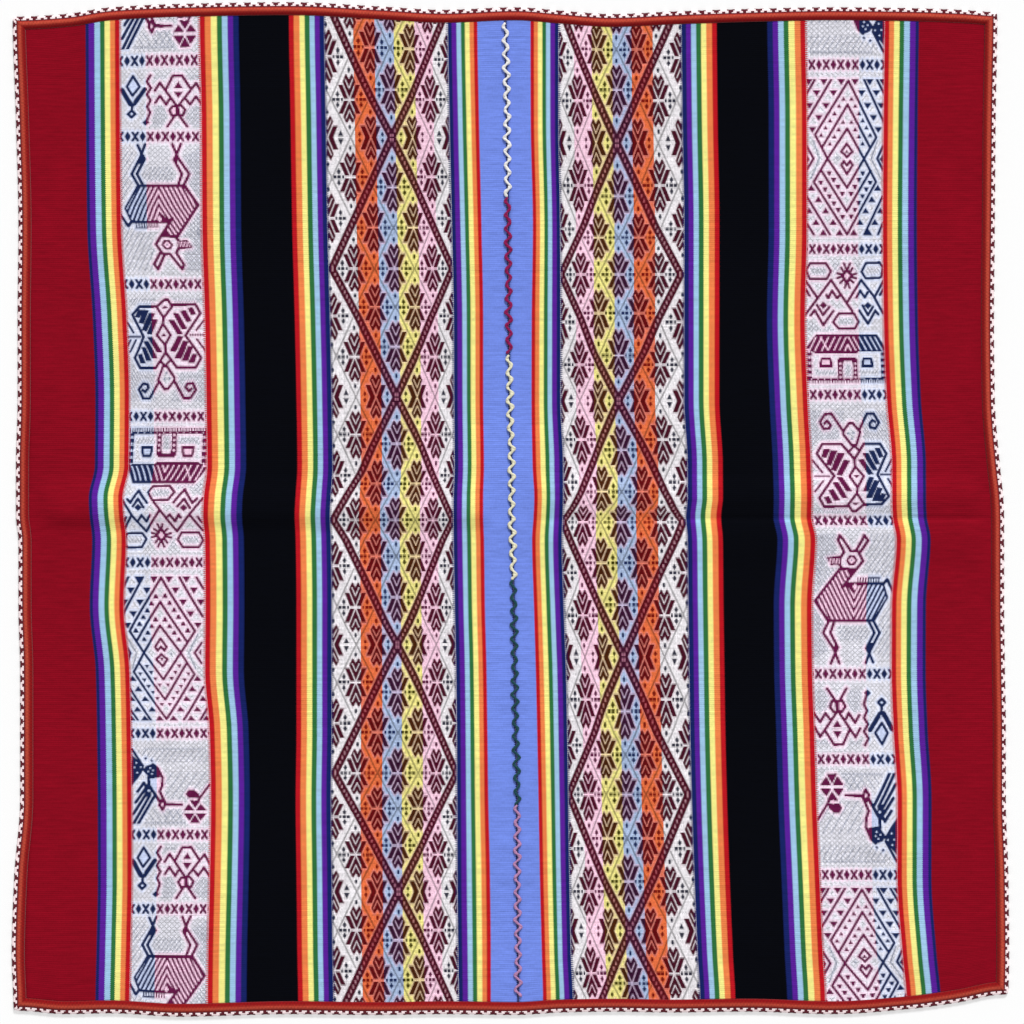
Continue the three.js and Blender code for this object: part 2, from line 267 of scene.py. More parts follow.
def wool(name, roughness=0.95, sheen=0.01):
    """A new wool material, with its node tree and its shader."""
    material = bpy.data.materials.new(name)
    material.use_nodes = True
    tree = material.node_tree
    shader = tree.nodes["Principled BSDF"]
    shader.inputs["Roughness"].default_value = roughness
    shader.inputs["Sheen Weight"].default_value = sheen
    shader.inputs["Sheen Roughness"].default_value = 0.5
    shader.inputs["Specular IOR Level"].default_value = 0.06
    return material, tree, shader


def node(tree, kind, **settings):
    """A new node of that kind, with its properties set."""
    made = tree.nodes.new(kind)
    for key, value in settings.items():
        setattr(made, key, value)
    return made


def maths(tree, operation, *values):
    """The output of a Math node fed by sockets or numbers."""
    made = node(tree, "ShaderNodeMath", operation=operation)
    for socket, value in zip(made.inputs, values):
        if isinstance(value, (int, float)):
            socket.default_value = value
        else:
            tree.links.new(value, socket)
    return made.outputs[0]


def noise(tree, vector, scale, detail=2.0):
    """The value of a noise texture over a vector."""
    made = node(tree, "ShaderNodeTexNoise")
    made.inputs["Scale"].default_value = scale
    made.inputs["Detail"].default_value = detail
    tree.links.new(vector, made.inputs["Vector"])
    return made.outputs["Fac"]


def stretched(tree, vector, scale):
    """A vector multiplied along each axis."""
    made = node(tree, "ShaderNodeVectorMath", operation="MULTIPLY")
    made.inputs[1].default_value = scale
    tree.links.new(vector, made.inputs[0])
    return made.outputs[0]


def shaded(tree, colour, amount):
    """A colour multiplied by an amount, one value for all three channels."""
    made = node(tree, "ShaderNodeVectorMath", operation="SCALE")
    tree.links.new(colour, made.inputs[0])
    tree.links.new(amount, made.inputs["Scale"])
    return made.outputs[0]


def weighted(tree, total, *terms):
    """A total with each term added to it, multiplied by the term's weight."""
    for value, weight in terms:
        total = maths(tree, "ADD", total, maths(tree, "MULTIPLY", value, weight))
    return total


def chosen(tree, factor, first, second):
    """The first colour where the factor is nought, and the second where it is one."""
    mix = node(tree, "ShaderNodeMix", data_type="RGBA")
    tree.links.new(factor, mix.inputs["Factor"])
    tree.links.new(first, mix.inputs["A"])
    if isinstance(second, tuple):
        mix.inputs["B"].default_value = second
    else:
        tree.links.new(second, mix.inputs["B"])
    return mix.outputs["Result"]


def raised(tree, shader, height, strength, distance):
    """Relief on a shader's surface, where a height of one stands for the distance in metres."""
    bump = node(tree, "ShaderNodeBump")
    bump.inputs["Strength"].default_value = strength
    bump.inputs["Distance"].default_value = distance
    tree.links.new(height, bump.inputs["Height"])
    tree.links.new(bump.outputs["Normal"], shader.inputs["Normal"])


def fibres(tree, shader, scale):
    """Fine fibres of a yarn, as a noise over the object that also raises its surface."""
    fibre = noise(tree, node(tree, "ShaderNodeTexCoord").outputs["Object"], scale, 3.0)
    raised(tree, shader, fibre, 0.5, 0.0002)
    return fibre


def weave_readings(tree):
    """The weave's map, the distance across in millimetres, and a sine wave with a turn for a pick."""
    uv = node(tree, "ShaderNodeUVMap", uv_map="weave").outputs["UV"]
    parts = node(tree, "ShaderNodeSeparateXYZ")
    tree.links.new(uv, parts.inputs[0])
    pick = maths(tree, "MULTIPLY", parts.outputs["Y"], MAP_DOWN / PICK)
    beat = maths(tree, "SINE", maths(tree, "MULTIPLY", pick, 2 * math.pi))
    return uv, maths(tree, "MULTIPLY", parts.outputs["X"], MAP_ACROSS), beat


# Unevenness of the dye and the yarns: steps over the map across and down, detail, and weight.
STREAKS = ((14.0, 420.0), 3.0, 0.34)
FLECKS = ((420.0, 300.0), 1.0, 0.24)
CLOUDS = ((5.0, 10.0), 2.0, 0.22)
WEFTS = ((26.0, 400.0), 3.0, 0.5)


def woven_finish(tree, shader, colour, readings, warp_width, rib, crossed):
    """Finishes a woven surface: uneven dye as streaks along the picks, flecks and clouds, painted shade and
    highlight along the picks' ribs, and the ribs of the weave as relief. A plain weave has a rib at each pick
    and a dip between warps; a crossed one, the patterned kind, has its floats set by half a step from warp to
    warp."""
    uv, across, beat = readings
    patches = [(noise(tree, stretched(tree, uv, (*steps, 1.0)), 1.0, detail), weight)
               for steps, detail, weight in (STREAKS, FLECKS, CLOUDS, WEFTS)]
    # painted shade and highlight of the pick ribs: the beat term makes each pick a little lighter in its
    # middle and a little darker between two picks
    amount = weighted(tree, 0.35, *patches, (beat, 0.03))
    tree.links.new(shaded(tree, colour, amount), shader.inputs["Base Color"])
    warps = maths(tree, "SINE", maths(tree, "MULTIPLY", across, (1 if crossed else 2) * math.pi / warp_width))
    ribs = maths(tree, "MULTIPLY", beat, warps) if crossed else weighted(tree, 0.0, (beat, 0.7), (warps, 0.3))
    raised(tree, shader, weighted(tree, ribs, (patches[0][0], 1.6)), rib, 0.00012)


# Yarn colours, and three painted ones among them: shadow in the slit at the seam, a highlight along the
# braid's roll and shade under the braid
INK = {
    "ground": "84071B", "navy": "14205E", "purple": "571E93", "sky": "99BFDE", "green": "2C6C3A",
    "yellow": "EEE78A", "orange": "E47D47", "red": "B4141F", "white": "DFDEE8", "black": "020309",
    # the dark navy slit colour is painted shadow in the slit between the two panels at the seam
    "blue": "7088DF", "slit shadow": "27306A", "wine": "5E1642", "figure navy": "18244C",
    "pink tint": "F0C6DE", "blue tint": "BFCBEC", "hair": "80869A", "rose": "D8A0B8",
    # the rust here is painted highlight along the top of the braid's roll, and the darker rust after it
    # painted shade for the faces under the braid
    "maroon": "4A1020", "rust": "B54634", "rust underside shade": "8C2414", "deep red": "82080E",
    "rope light": "A8405C", "braid maroon": "5A1E28", "braid white": "F6E2E4",
}
INK = {key: linear(value) for key, value in INK.items()}

RAINBOW = ["navy", "purple", "sky", "green", "yellow", "orange", "red"]
# The four runs of stripes: where each starts from the outer edge, then its widths and yarns. The last stripe
# of the fourth run is no yarn but painted shadow in the slit at the seam.
STRIPES = [
    (40.0, [(3.5, "ground"), *zip((1.85, 3.5, 3.35, 2.8, 3.2, 2.9, 2.9), RAINBOW), (6.0, "white")]),
    (108.0, [(3.0, "white"), *zip((3.05, 3.5, 3.6, 3.0, 3.25, 3.3, 3.3), RAINBOW[::-1]), (4.0, "black")]),
    (160.0, [(2.7, "black"), *zip((3.0, 3.5, 3.3, 3.0, 3.15, 3.1, 2.95), RAINBOW[::-1]), (4.0, "white")]),
    (254.0, [(3.4, "white"), *zip((2.25, 2.75, 2.55, 2.4, 2.65, 2.45, 2.05), RAINBOW), (15.1, "blue"),
             (0.8, "slit shadow")]),
]
STRIPE_BORDERS = (90.0, 148.0, 220.0)  # where the next run takes over
PLAIN_WARP = 0.62  # width of a warp in the plain weave
FIGURE_WARP, LATTICE_WARP = 0.72, 0.568  # and in the two bands


def stripe_ramp(tree, start, stripes, across):
    """A colour ramp over a run of stripes, with a sharp edge at the start of each."""
    ramp = node(tree, "ShaderNodeValToRGB")
    ramp.color_ramp.interpolation = "CONSTANT"
    ends = np.cumsum([width for width, _ in stripes])
    elements = ramp.color_ramp.elements
    while len(elements) < len(stripes):
        elements.new(0.5)
    for element, at in zip(elements, [0.0, *ends[:-1] / ends[-1]]):
        element.position = at
    for element, (_, yarn) in zip(elements, stripes):
        element.color = (*INK[yarn], 1.0)
    share = maths(tree, "DIVIDE", maths(tree, "SUBTRACT", across, start), float(ends[-1]))
    tree.links.new(share, ramp.inputs["Fac"])
    return ramp.outputs["Color"]


def panel_material():
    """Plain warp-faced stripes: the distance across picks the yarn, and the edge of each stripe
    steps to and fro by a fraction of a warp from pick to pick."""
    material, tree, shader = wool("striped panel wool")
    uv, across, beat = weave_readings(tree)
    place = weighted(tree, across, (beat, 0.3))
    colour = stripe_ramp(tree, *STRIPES[0], place)
    for run, border in zip(STRIPES[1:], STRIPE_BORDERS):
        colour = chosen(tree, maths(tree, "GREATER_THAN", across, border), colour,
                        stripe_ramp(tree, *run, place))
    woven_finish(tree, shader, colour, (uv, across, beat), PLAIN_WARP, 0.42, False)
    return material


def band_material(name, warp_width, span, border):
    """Patterned weave: the colours of the attribute over crossed ribs. Along both edges the border
    yarn shows as one small tooth for each pick."""
    material, tree, shader = wool(name)
    uv, across, beat = weave_readings(tree)
    yarn = node(tree, "ShaderNodeAttribute", attribute_name="yarn").outputs["Color"]
    middle, half = (span[0] + span[1]) / 2, (span[1] - span[0]) / 2
    rim = maths(tree, "SUBTRACT", half, maths(tree, "ABSOLUTE", maths(tree, "SUBTRACT", across, middle)))
    tooth = maths(tree, "LESS_THAN", rim, weighted(tree, 0.45, (beat, 0.85)))
    colour = chosen(tree, tooth, yarn, (*INK[border], 1.0))
    woven_finish(tree, shader, colour, (uv, across, beat), warp_width, 0.35, True)
    return material


# Charts of the patterned bands. A chart has GRAIN columns for each warp, from the outer edge of the
# band inwards, and a few rows for each pick. Its colours are then averaged into the band's faces.
GROUND, FIGURE, TINT, HAIR, DASH, MARK = range(6)
GRAIN = 3
FIGURE_WARPS, LATTICE_WARPS = 65, 133
FIGURE_ROWS, LATTICE_ROWS = 980, 686
WINE_WARPS = 41  # of the figure band, on its inner side; the rest are navy
WINE_SHARE = 0.68  # of its width
YARN_SPREAD = 1.18  # a woven line comes out this much wider than it is drawn


def inside(points, x, y):
    """Cells whose middles lie inside a polygon: every edge that crosses a cell's level on its right
    turns the answer over."""
    hit = np.zeros(np.broadcast(x, y).shape, bool)
    for (x0, y0), (x1, y1) in zip(points, points[1:] + points[:1]):
        at = x0 + (y - y0) * (x1 - x0) / ((y1 - y0) or 1)
        hit ^= ((y0 > y) != (y1 > y)) & (x < at)
    return hit


def close_to(points, x, y, width):
    """Cells within half a width of a line through the points."""
    near = np.zeros(np.broadcast(x, y).shape, bool)
    for (x0, y0), (x1, y1) in zip(points, points[1:]):
        run = (x1 - x0) ** 2 + (y1 - y0) ** 2 or 1
        t = np.clip(((x - x0) * (x1 - x0) + (y - y0) * (y1 - y0)) / run, 0, 1)
        near |= np.hypot(x - x0 - t * (x1 - x0), y - y0 - t * (y1 - y0)) < width / 2
    return near


def figure_shares(count):
    """Share of the figure band's width, from its inner edge, at a count of warps from the outer edge.
    Navy warps are a little narrower than wine."""
    inward = FIGURE_WARPS - count
    wine = WINE_SHARE * inward / WINE_WARPS
    navy = WINE_SHARE + (1 - WINE_SHARE) * (inward - WINE_WARPS) / (FIGURE_WARPS - WINE_WARPS)
    return np.where(inward < WINE_WARPS, wine, navy)


class Block:
    """Part of the figure band between two picks. Its cells have x and y in the block's own drawing
    units: x starts at the band's inner edge, which leans from the block's top over its middle to
    its bottom. Its middle lies bow picks lower than half way, and lean moves its top, its middle and
    its bottom towards the inner edge by so many warps. The block can be turned over, as it is on the
    left panel."""

    def __init__(self, chart, first, last, bow, lean, edge, width, y_span, turned):
        pick = (np.arange(len(chart)) + 0.5) * PICKS / len(chart)
        rows = np.nonzero((pick > first - 0.7) & (pick < last + 0.7))[0]
        share = (pick[rows] - first) / (last - first)
        share = share - 4 * bow / (last - first) * share * (1 - share)
        share = 1 - share if turned else share
        self.y = (y_span[0] + share * (y_span[1] - y_span[0]))[:, None]
        warp = (np.arange(chart.shape[1]) + 0.5) / GRAIN
        edge = np.array(edge) + np.array(lean) * width / FIGURE_WARPS
        self.x = np.interp(share, (0, 0.5, 1), edge)[:, None] + figure_shares(warp)[None, :] * width
        self.cells = chart[rows[0]:rows[-1] + 1]

    def fill(self, *points, value=FIGURE):
        self.cells[inside(list(points), self.x, self.y)] = value

    def line(self, width, *points, value=FIGURE):
        self.cells[close_to(list(points), self.x, self.y, YARN_SPREAD * width)] = value

    def ring(self, width, *points, inner=None):
        if inner is not None:
            self.fill(*points, value=inner)
        self.line(width, *points, points[0])

    def dot(self, x, y, size, value=FIGURE):
        self.cells[np.abs(self.x - x) + np.abs(self.y - y) < size] = value

    def hatch(self, points, pitch, lean, value=HAIR, width=11):
        """Thin slanted lines inside a polygon."""
        step = (self.x + lean * self.y) % pitch
        mask = inside(list(points), self.x, self.y) & (step < width) & (self.cells == GROUND)
        self.cells[mask] = value

    def stripes(self, points, at, level, lean, width, value=TINT):
        """Light slanted stripes inside a polygon: at gives x of each where it meets the level."""
        mask = inside(list(points), self.x, self.y)
        for x in at:
            self.cells[mask & (np.abs(self.x - x - lean * (self.y - level)) < width / 2)] = value


def even_row(x, y, dx, dy, count):
    """Places in a straight row, an even step apart."""
    return [(x + dx * k, y + dy * k) for k in range(count)]


def draw_crosses(block):
    """Crosses and small diamonds in turn. x counts warps from the inner edge."""
    place = block.x - 1.6
    dx = np.abs(place % 6.05 - 3.02)
    odd = (place // 6.05) % 2
    dy = np.abs(block.y)
    cross = (np.abs(dx - 1.1 * dy) < 1.25) & (dx < 3.0) & (dy < 2.4)
    diamond = dx / 2.6 + dy / 2.7 < 1.0
    block.cells[np.where(odd == 0, cross, diamond)] = FIGURE


def draw_diamonds(block):
    """Nested diamonds with rows of small triangles between their outlines, round two hearts."""
    for points in (
        ((425, 50), (112, 535), (225, 750), (405, 1012)), ((425, 50), (680, 560), (565, 752), (405, 1012)),
        ((182, 640), (415, 265), (620, 648)), ((225, 750), (410, 480), (565, 752)),
        ((225, 750), (95, 960), (400, 1432)), ((565, 752), (675, 960), (400, 1432)),
        ((165, 855), (400, 1225), (625, 860)), ((270, 38), (42, 400)), ((120, 38), (42, 165)),
        ((568, 38), (745, 415)), ((685, 38), (748, 160)), ((30, 1095), (240, 1435)), ((28, 1340), (90, 1435)),
        ((735, 1090), (560, 1435)), ((735, 1330), (688, 1435)),
        ((38, 645), (96, 750), (34, 848)), ((740, 640), (688, 750), (740, 852)),
    ):
        block.line(20, *points)
    down = [(x, 34) for x in (62, 200, 360, 486, 620, 742)] + [(x, 134) for x in (132, 286, 546, 680)]
    down += [(x, 248) for x in (64, 216, 600, 724)] + [(x, 356) for x in (148, 654)] + [(88, 464), (698, 464)]
    for x, y in down:
        block.fill((x - 38, y), (x + 38, y), (x, y + 58))
    up = [(x, 1038) for x in (70, 690)] + [(x, 1142) for x in (136, 634)]
    up += [(x, 1245) for x in (48, 202, 576, 712)] + [(x, 1348) for x in (110, 270, 520, 660)]
    up += [(x, 1440) for x in (178, 330, 462, 600)]
    for x, y in up:
        block.fill((x - 36, y), (x + 36, y), (x, y - 56))
    small = even_row(378, 212, -42, 65, 6) + even_row(452, 212, 34, 65, 6)
    small += even_row(372, 422, -41, 65, 4) + even_row(450, 422, 34, 64, 4)
    for x, y in small:
        block.fill((x - 22, y + 18), (x + 22, y + 18), (x, y - 22))
    small = even_row(240, 880, 40, 62, 4) + even_row(552, 880, -37, 62, 4)
    small += even_row(160, 965, 40, 62, 6) + even_row(620, 965, -36, 61, 6)
    for x, y in small:
        block.fill((x - 25, y - 18), (x + 25, y - 18), (x + 8, y + 22), (x - 8, y + 22))
    block.ring(20, (405, 615), (354, 688), (382, 712), (405, 738), (430, 712), (458, 688))
    block.fill((405, 668), (424, 702), (386, 702))
    block.ring(20, (405, 890), (354, 808), (376, 772), (405, 812), (436, 772), (458, 808))
    block.fill((34, 715), (62, 755), (34, 795))
    block.fill((745, 708), (706, 755), (745, 802))
    for points in (((96, 590), (150, 750), (70, 930)), ((690, 590), (632, 750), (720, 930))):
        block.line(9, *points, value=HAIR)
    block.fill((330, 742), (318, 754), (306, 742), (318, 730), value=HAIR)


def draw_mountains(block):
    """Two peaks with snow lines and plants under a sun, between three small lagoons."""
    for points in (
        ((120, 130), (375, 130), (465, 260), (400, 380), (120, 380), (55, 245)),
        ((1035, 130), (1260, 120), (1315, 200), (1290, 345), (1250, 368), (1035, 372), (965, 270)),
        ((600, 940), (845, 935), (920, 1070), (860, 1175), (600, 1180), (510, 1075)),
    ):
        block.ring(35, *points)
        x, y = np.mean(points, axis=0)
        block.hatch([(x - 130, y - 65), (x + 130, y - 65), (x + 130, y + 65), (x - 130, y + 65)], 52, -0.6)
    for points in (
        ((55, 970), (470, 400), (820, 900)), ((740, 750), (960, 400), (1165, 660), (1310, 930)),
        ((60, 420), (250, 680)), ((1320, 420), (1180, 670)), ((70, 560), (125, 650)),
        ((1310, 560), (1265, 640)), ((400, 640), (430, 690), (490, 570), (570, 690), (620, 640)),
        ((885, 680), (945, 570), (1020, 680), (1065, 600)), ((250, 800), (350, 960), (450, 830)),
        ((150, 965), (215, 885), (355, 1120), (515, 895)), ((985, 810), (1070, 960), (1150, 830)),
        ((930, 890), (1070, 1100), (1190, 890), (1235, 950)),
    ):
        block.line(37, *points)
    block.dot(352, 805, 62)
    block.dot(1070, 810, 62)
    block.ring(42, (725, 235), (805, 330), (725, 450), (650, 330), inner=TINT)
    for ray in (
        ((675, 135), (705, 210)), ((775, 135), (745, 210)), ((630, 205), (670, 265)),
        ((815, 210), (780, 270)),
        ((575, 295), (640, 310)), ((570, 370), (640, 345)), ((875, 300), (805, 320)),
        ((875, 375), (805, 350)),
        ((620, 445), (670, 400)), ((835, 440), (785, 400)), ((695, 525), (715, 455)),
        ((775, 525), (745, 455)),
    ):
        block.line(33, *ray)
    block.hatch([(480, 120), (640, 120), (560, 330), (500, 330)], 60, 0.6)
    block.hatch([(840, 120), (960, 120), (900, 330), (880, 380)], 60, -0.6)
    block.hatch([(80, 1020), (330, 1180), (500, 1100), (500, 1220), (80, 1220)], 60, 0.6)


def draw_house(block):
    """A house front: a slotted roof, two windows and an arched door over a base of short ticks."""
    block.fill((228, 66), (1195, 66), (1325, 270), (1325, 345), (900, 345), (880, 375), (215, 375),
               (160, 345), (75, 345), (75, 270))
    roof = [(215, 110), (1190, 110), (1300, 318), (100, 335)]
    block.stripes(roof, (172, 262, 372, 470, 562, 650), 225, -0.5, 24)
    block.stripes(roof, (362, 805, 880, 975, 1062, 1146, 1222), 225, 0.56, 24)
    block.line(22, (690, 322), (732, 235), (778, 322), value=TINT)
    block.fill((98, 345), (75, 345), (75, 300), (125, 300), value=TINT)
    for x, wide in ((120, 40), (1290, 36)):
        for step in range(5):
            y = 392 + 95 * step
            block.fill((x - wide, y - 30), (x + wide, y - 30), (x + wide, y + 26), (x - wide, y + 26))
            block.fill((x - 26, y - 62), (x + 26, y - 62), (x + 26, y - 28), (x - 26, y - 28))
            block.dot(x, y - 46, 20, value=TINT)
    block.fill((90, 772), (1318, 762), (1318, 800), (90, 812))
    for step in range(33):
        x = 104 + 38 * step
        block.fill((x - 9, 800), (x + 9, 800), (x + 9, 852), (x - 9, 852))
    for step in range(12):
        block.dot(150 + 105 * step, 786, 13, value=TINT)
    for x0, x1, cut in ((278, 490, 30), (946, 1136, 26)):
        block.fill((x0 + cut, 438), (x1 - cut, 438), (x1, 520), (x1, 598), (x0, 598), (x0, 520))
        block.fill((x0 + 48, 482), (x1 - 52, 482), (x1 - 44, 555), (x0 + 40, 555), value=TINT)
    block.fill((600, 436), (850, 436), (888, 480), (890, 792), (812, 792), (812, 560), (790, 492), (672, 492),
               (650, 560), (650, 792), (572, 792), (565, 480))
    for x in (612, 850):
        for step in range(4):
            block.dot(x, 538 + 72 * step, 24, value=TINT)
    for x0, x1 in ((200, 560), (910, 1240)):
        block.hatch([(x0, 630), (x1, 630), (x1, 720), (x0, 720)], 52, 0.5)
    block.hatch([(660, 560), (800, 560), (800, 760), (660, 760)], 46, 0.6)


def draw_butterfly(block):
    """A butterfly seen from above, with coiled feelers, barred wings and a chain of diamonds for
    its body."""
    for points in (
        ((500, 375), (355, 160), (275, 165), (215, 262), (258, 340), (325, 335), (345, 295), (300, 245),
         (272, 275)),
        ((690, 350), (785, 160), (870, 160), (930, 265), (885, 335), (825, 325), (815, 280), (850, 235),
         (882, 258)),
        ((630, 705), (475, 525), (240, 525), (178, 640), (385, 905), (200, 1170), (260, 1275), (548, 1270)),
        ((630, 705), (740, 520), (935, 520), (1010, 640), (905, 890), (1040, 1150), (955, 1245), (742, 1250)),
        ((630, 705), (638, 795)), ((665, 1045), (656, 1115)),
    ):
        block.line(29, *points)
    block.ring(28, (565, 275), (610, 270), (700, 380), (690, 410), (650, 540), (600, 540), (495, 405),
               (495, 375))
    block.ring(26, (625, 545), (558, 620), (630, 705), (692, 605))
    block.ring(28, (640, 795), (570, 910), (665, 1045), (740, 910))
    block.ring(28, (655, 1115), (550, 1250), (600, 1330), (640, 1330), (742, 1245))
    bars = [
        ((262, 588), (332, 588), (288, 684), (240, 676)), ((345, 608), (418, 608), (348, 778), (298, 768)),
        ((430, 636), (508, 640), (410, 842), (355, 830)), ((508, 716), (570, 728), (476, 898), (420, 888)),
        ((424, 926), (482, 926), (590, 1086), (530, 1086)),
        ((370, 990), (428, 984), (534, 1168), (478, 1164)),
        ((316, 1082), (368, 1070), (444, 1192), (384, 1200)),
        ((262, 1166), (312, 1154), (350, 1226), (300, 1236)),
        ((682, 714), (738, 710), (852, 882), (800, 886)), ((733, 638), (792, 638), (902, 832), (850, 834)),
        ((806, 608), (862, 608), (928, 762), (888, 764)), ((876, 578), (930, 578), (968, 672), (928, 684)),
        ((808, 922), (858, 930), (788, 1090), (733, 1088)),
        ((868, 962), (922, 970), (832, 1168), (768, 1164)),
        ((905, 1048), (958, 1060), (902, 1202), (843, 1200)),
        ((958, 1118), (1002, 1130), (964, 1208), (905, 1204)),
    ]
    for bar in bars:
        block.fill(*bar)
        block.line(12, *bar, bar[0])
    for points in (((128, 718), (242, 862)), ((250, 970), (148, 1095)), ((1072, 712), (1002, 850)),
                   ((1100, 790), (1068, 850)), ((945, 890), (1098, 890)), ((1030, 940), (1102, 1056))):
        block.line(22, *points)
    for step in range(6):
        block.dot(160 + 32 * step, 912, 17)
    for x, y in ((555, 396), (620, 390), (600, 462)):
        block.dot(x, y, 19, value=HAIR)
    block.fill((618, 895), (690, 895), (655, 935))
    block.fill((590, 1228), (684, 1224), (640, 1262))
    for points, lean in ((((80, 90), (520, 90), (430, 480), (160, 480), (90, 700)), 0.6),
                         (((700, 90), (1020, 90), (1060, 660), (980, 480), (740, 480)), -0.6),
                         (((140, 1290), (540, 1290), (540, 1380), (140, 1380)), 0.6),
                         (((760, 1270), (1060, 1270), (1060, 1380), (760, 1380)), 0.6)):
        block.hatch(list(points), 34, lean, width=9)


def draw_deer(block):
    """A standing deer with tall ears, a ringed eye, a body of nested stripes and slender legs."""
    body = [(362, 438), (400, 430), (540, 440), (385, 650), (470, 592), (830, 592), (850, 640), (888, 762),
            (740, 1036), (238, 1036), (88, 800)]
    block.fill(*body)
    stripes = [137 + 50 * k for k in range(10)]
    left = [(360, 470), (515, 450), (398, 650), (440, 640), (515, 730), (515, 1000), (250, 1000), (108, 800)]
    right = [(515, 640), (640, 622), (822, 628), (862, 765), (728, 1000), (515, 1000)]
    block.stripes(left, stripes, 800, 0.5, 23)
    block.stripes(right, [1030 - x for x in stripes[:9]], 800, -0.5, 23)
    block.fill((500, 640), (525, 606), (550, 640), (525, 690), value=TINT)
    block.fill((388, 656), (445, 606), (470, 592), (400, 592), value=GROUND)
    for points in (
        ((362, 78), (336, 132), (398, 262), (354, 332), (352, 402), (380, 440)),
        ((362, 78), (470, 252), (545, 250)),
        ((625, 78), (530, 240)), ((625, 78), (658, 136), (566, 272)), ((545, 250), (603, 360), (385, 652)),
        ((362, 440), (92, 800), (242, 1030)), ((385, 652), (442, 600)),
        ((240, 1030), (184, 1150), (300, 1330), (360, 1485)),
        ((302, 1030), (262, 1150), (344, 1310), (312, 1380), (268, 1488)),
        ((735, 1030), (798, 1150), (702, 1340), (650, 1484)),
        ((682, 1030), (742, 1150), (656, 1320), (690, 1380), (730, 1474)),
        ((828, 620), (870, 562), (935, 690)),
    ):
        block.line(27, *points)
    block.fill((318, 1250), (346, 1300), (330, 1380), (296, 1330))
    block.fill((690, 1260), (730, 1260), (705, 1340), (672, 1370), (655, 1320))
    block.fill((210, 322), (350, 300), (360, 402), (256, 408))
    for step in range(5):
        block.line(9, (246 + 24 * step, 335), (252 + 24 * step, 385), value=TINT)
    block.fill((452, 300), (512, 300), (548, 350), (512, 408), (450, 408), (418, 355))
    block.dot(482, 353, 40, value=TINT)
    block.dot(482, 353, 12, value=HAIR)
    for step in range(9):
        block.line(12, (556 + 28 * step, 548), (556 + 28 * step, 592))
    block.line(13, (664, 544), (790, 544))
    for points, lean, pitch in ((((640, 60), (965, 60), (935, 620), (850, 540), (620, 470)), 0.6, 62),
                                (((100, 60), (330, 60), (300, 290), (180, 420), (90, 640)), -0.6, 30),
                                (((90, 400), (330, 440), (80, 760)), -0.6, 40),
                                (((70, 860), (220, 1060), (160, 1150), (260, 1330), (60, 1450)), -0.6, 30),
                                (((340, 1060), (650, 1060), (700, 1150), (630, 1230), (370, 1230)), 0.6, 44),
                                (((800, 980), (930, 800), (930, 1440), (730, 1380)), 0.6, 62)):
        block.hatch(list(points), pitch, lean, width=9)


def draw_frog(block):
    """A frog, a snake and a long-winged insect side by side."""
    for points in (
        ((280, 120), (410, 310)), ((550, 120), (450, 300)), ((425, 300), (425, 440)),
        ((420, 440), (245, 700), (375, 905), (500, 900), (595, 690)), ((430, 430), (675, 800), (740, 680)),
        ((315, 545), (255, 465), (180, 590), (85, 450)), ((245, 700), (180, 795), (100, 650)),
        ((545, 540), (580, 460), (670, 600), (730, 490)),
        ((845, 175), (795, 340), (840, 430), (795, 530), (850, 620), (795, 720), (855, 820), (805, 912)),
        ((1045, 370), (1040, 450)),
    ):
        block.line(33, *points)
    block.ring(33, (400, 300), (350, 290), (320, 380), (375, 450), (425, 440))
    block.ring(33, (430, 300), (490, 285), (535, 370), (490, 440), (430, 440), inner=TINT)
    block.fill((420, 560), (355, 662), (482, 662))
    block.fill((362, 718), (482, 718), (424, 822))
    block.dot(845, 182, 52)
    block.ring(34, (1045, 262), (1095, 315), (1045, 368), (995, 315), inner=TINT)
    block.line(56, (1020, 470), (880, 700))
    block.line(58, (1072, 470), (1188, 690))
    block.fill((1000, 455), (1090, 455), (1110, 520), (980, 520))
    block.line(14, (1037, 500), (1037, 580), value=TINT)
    block.ring(32, (1045, 600), (950, 740), (1045, 900), (1125, 740), inner=TINT)
    block.hatch([(100, 130), (260, 130), (380, 300), (260, 440), (90, 430)], 42, 0.6, width=10)
    block.hatch([(590, 130), (760, 130), (760, 460), (600, 440), (560, 300)], 42, -0.6, width=10)
    block.hatch([(110, 830), (330, 850), (340, 905), (110, 905)], 42, 0.6, width=10)
    block.hatch([(620, 860), (770, 840), (770, 905), (560, 905)], 42, 0.6, width=10)


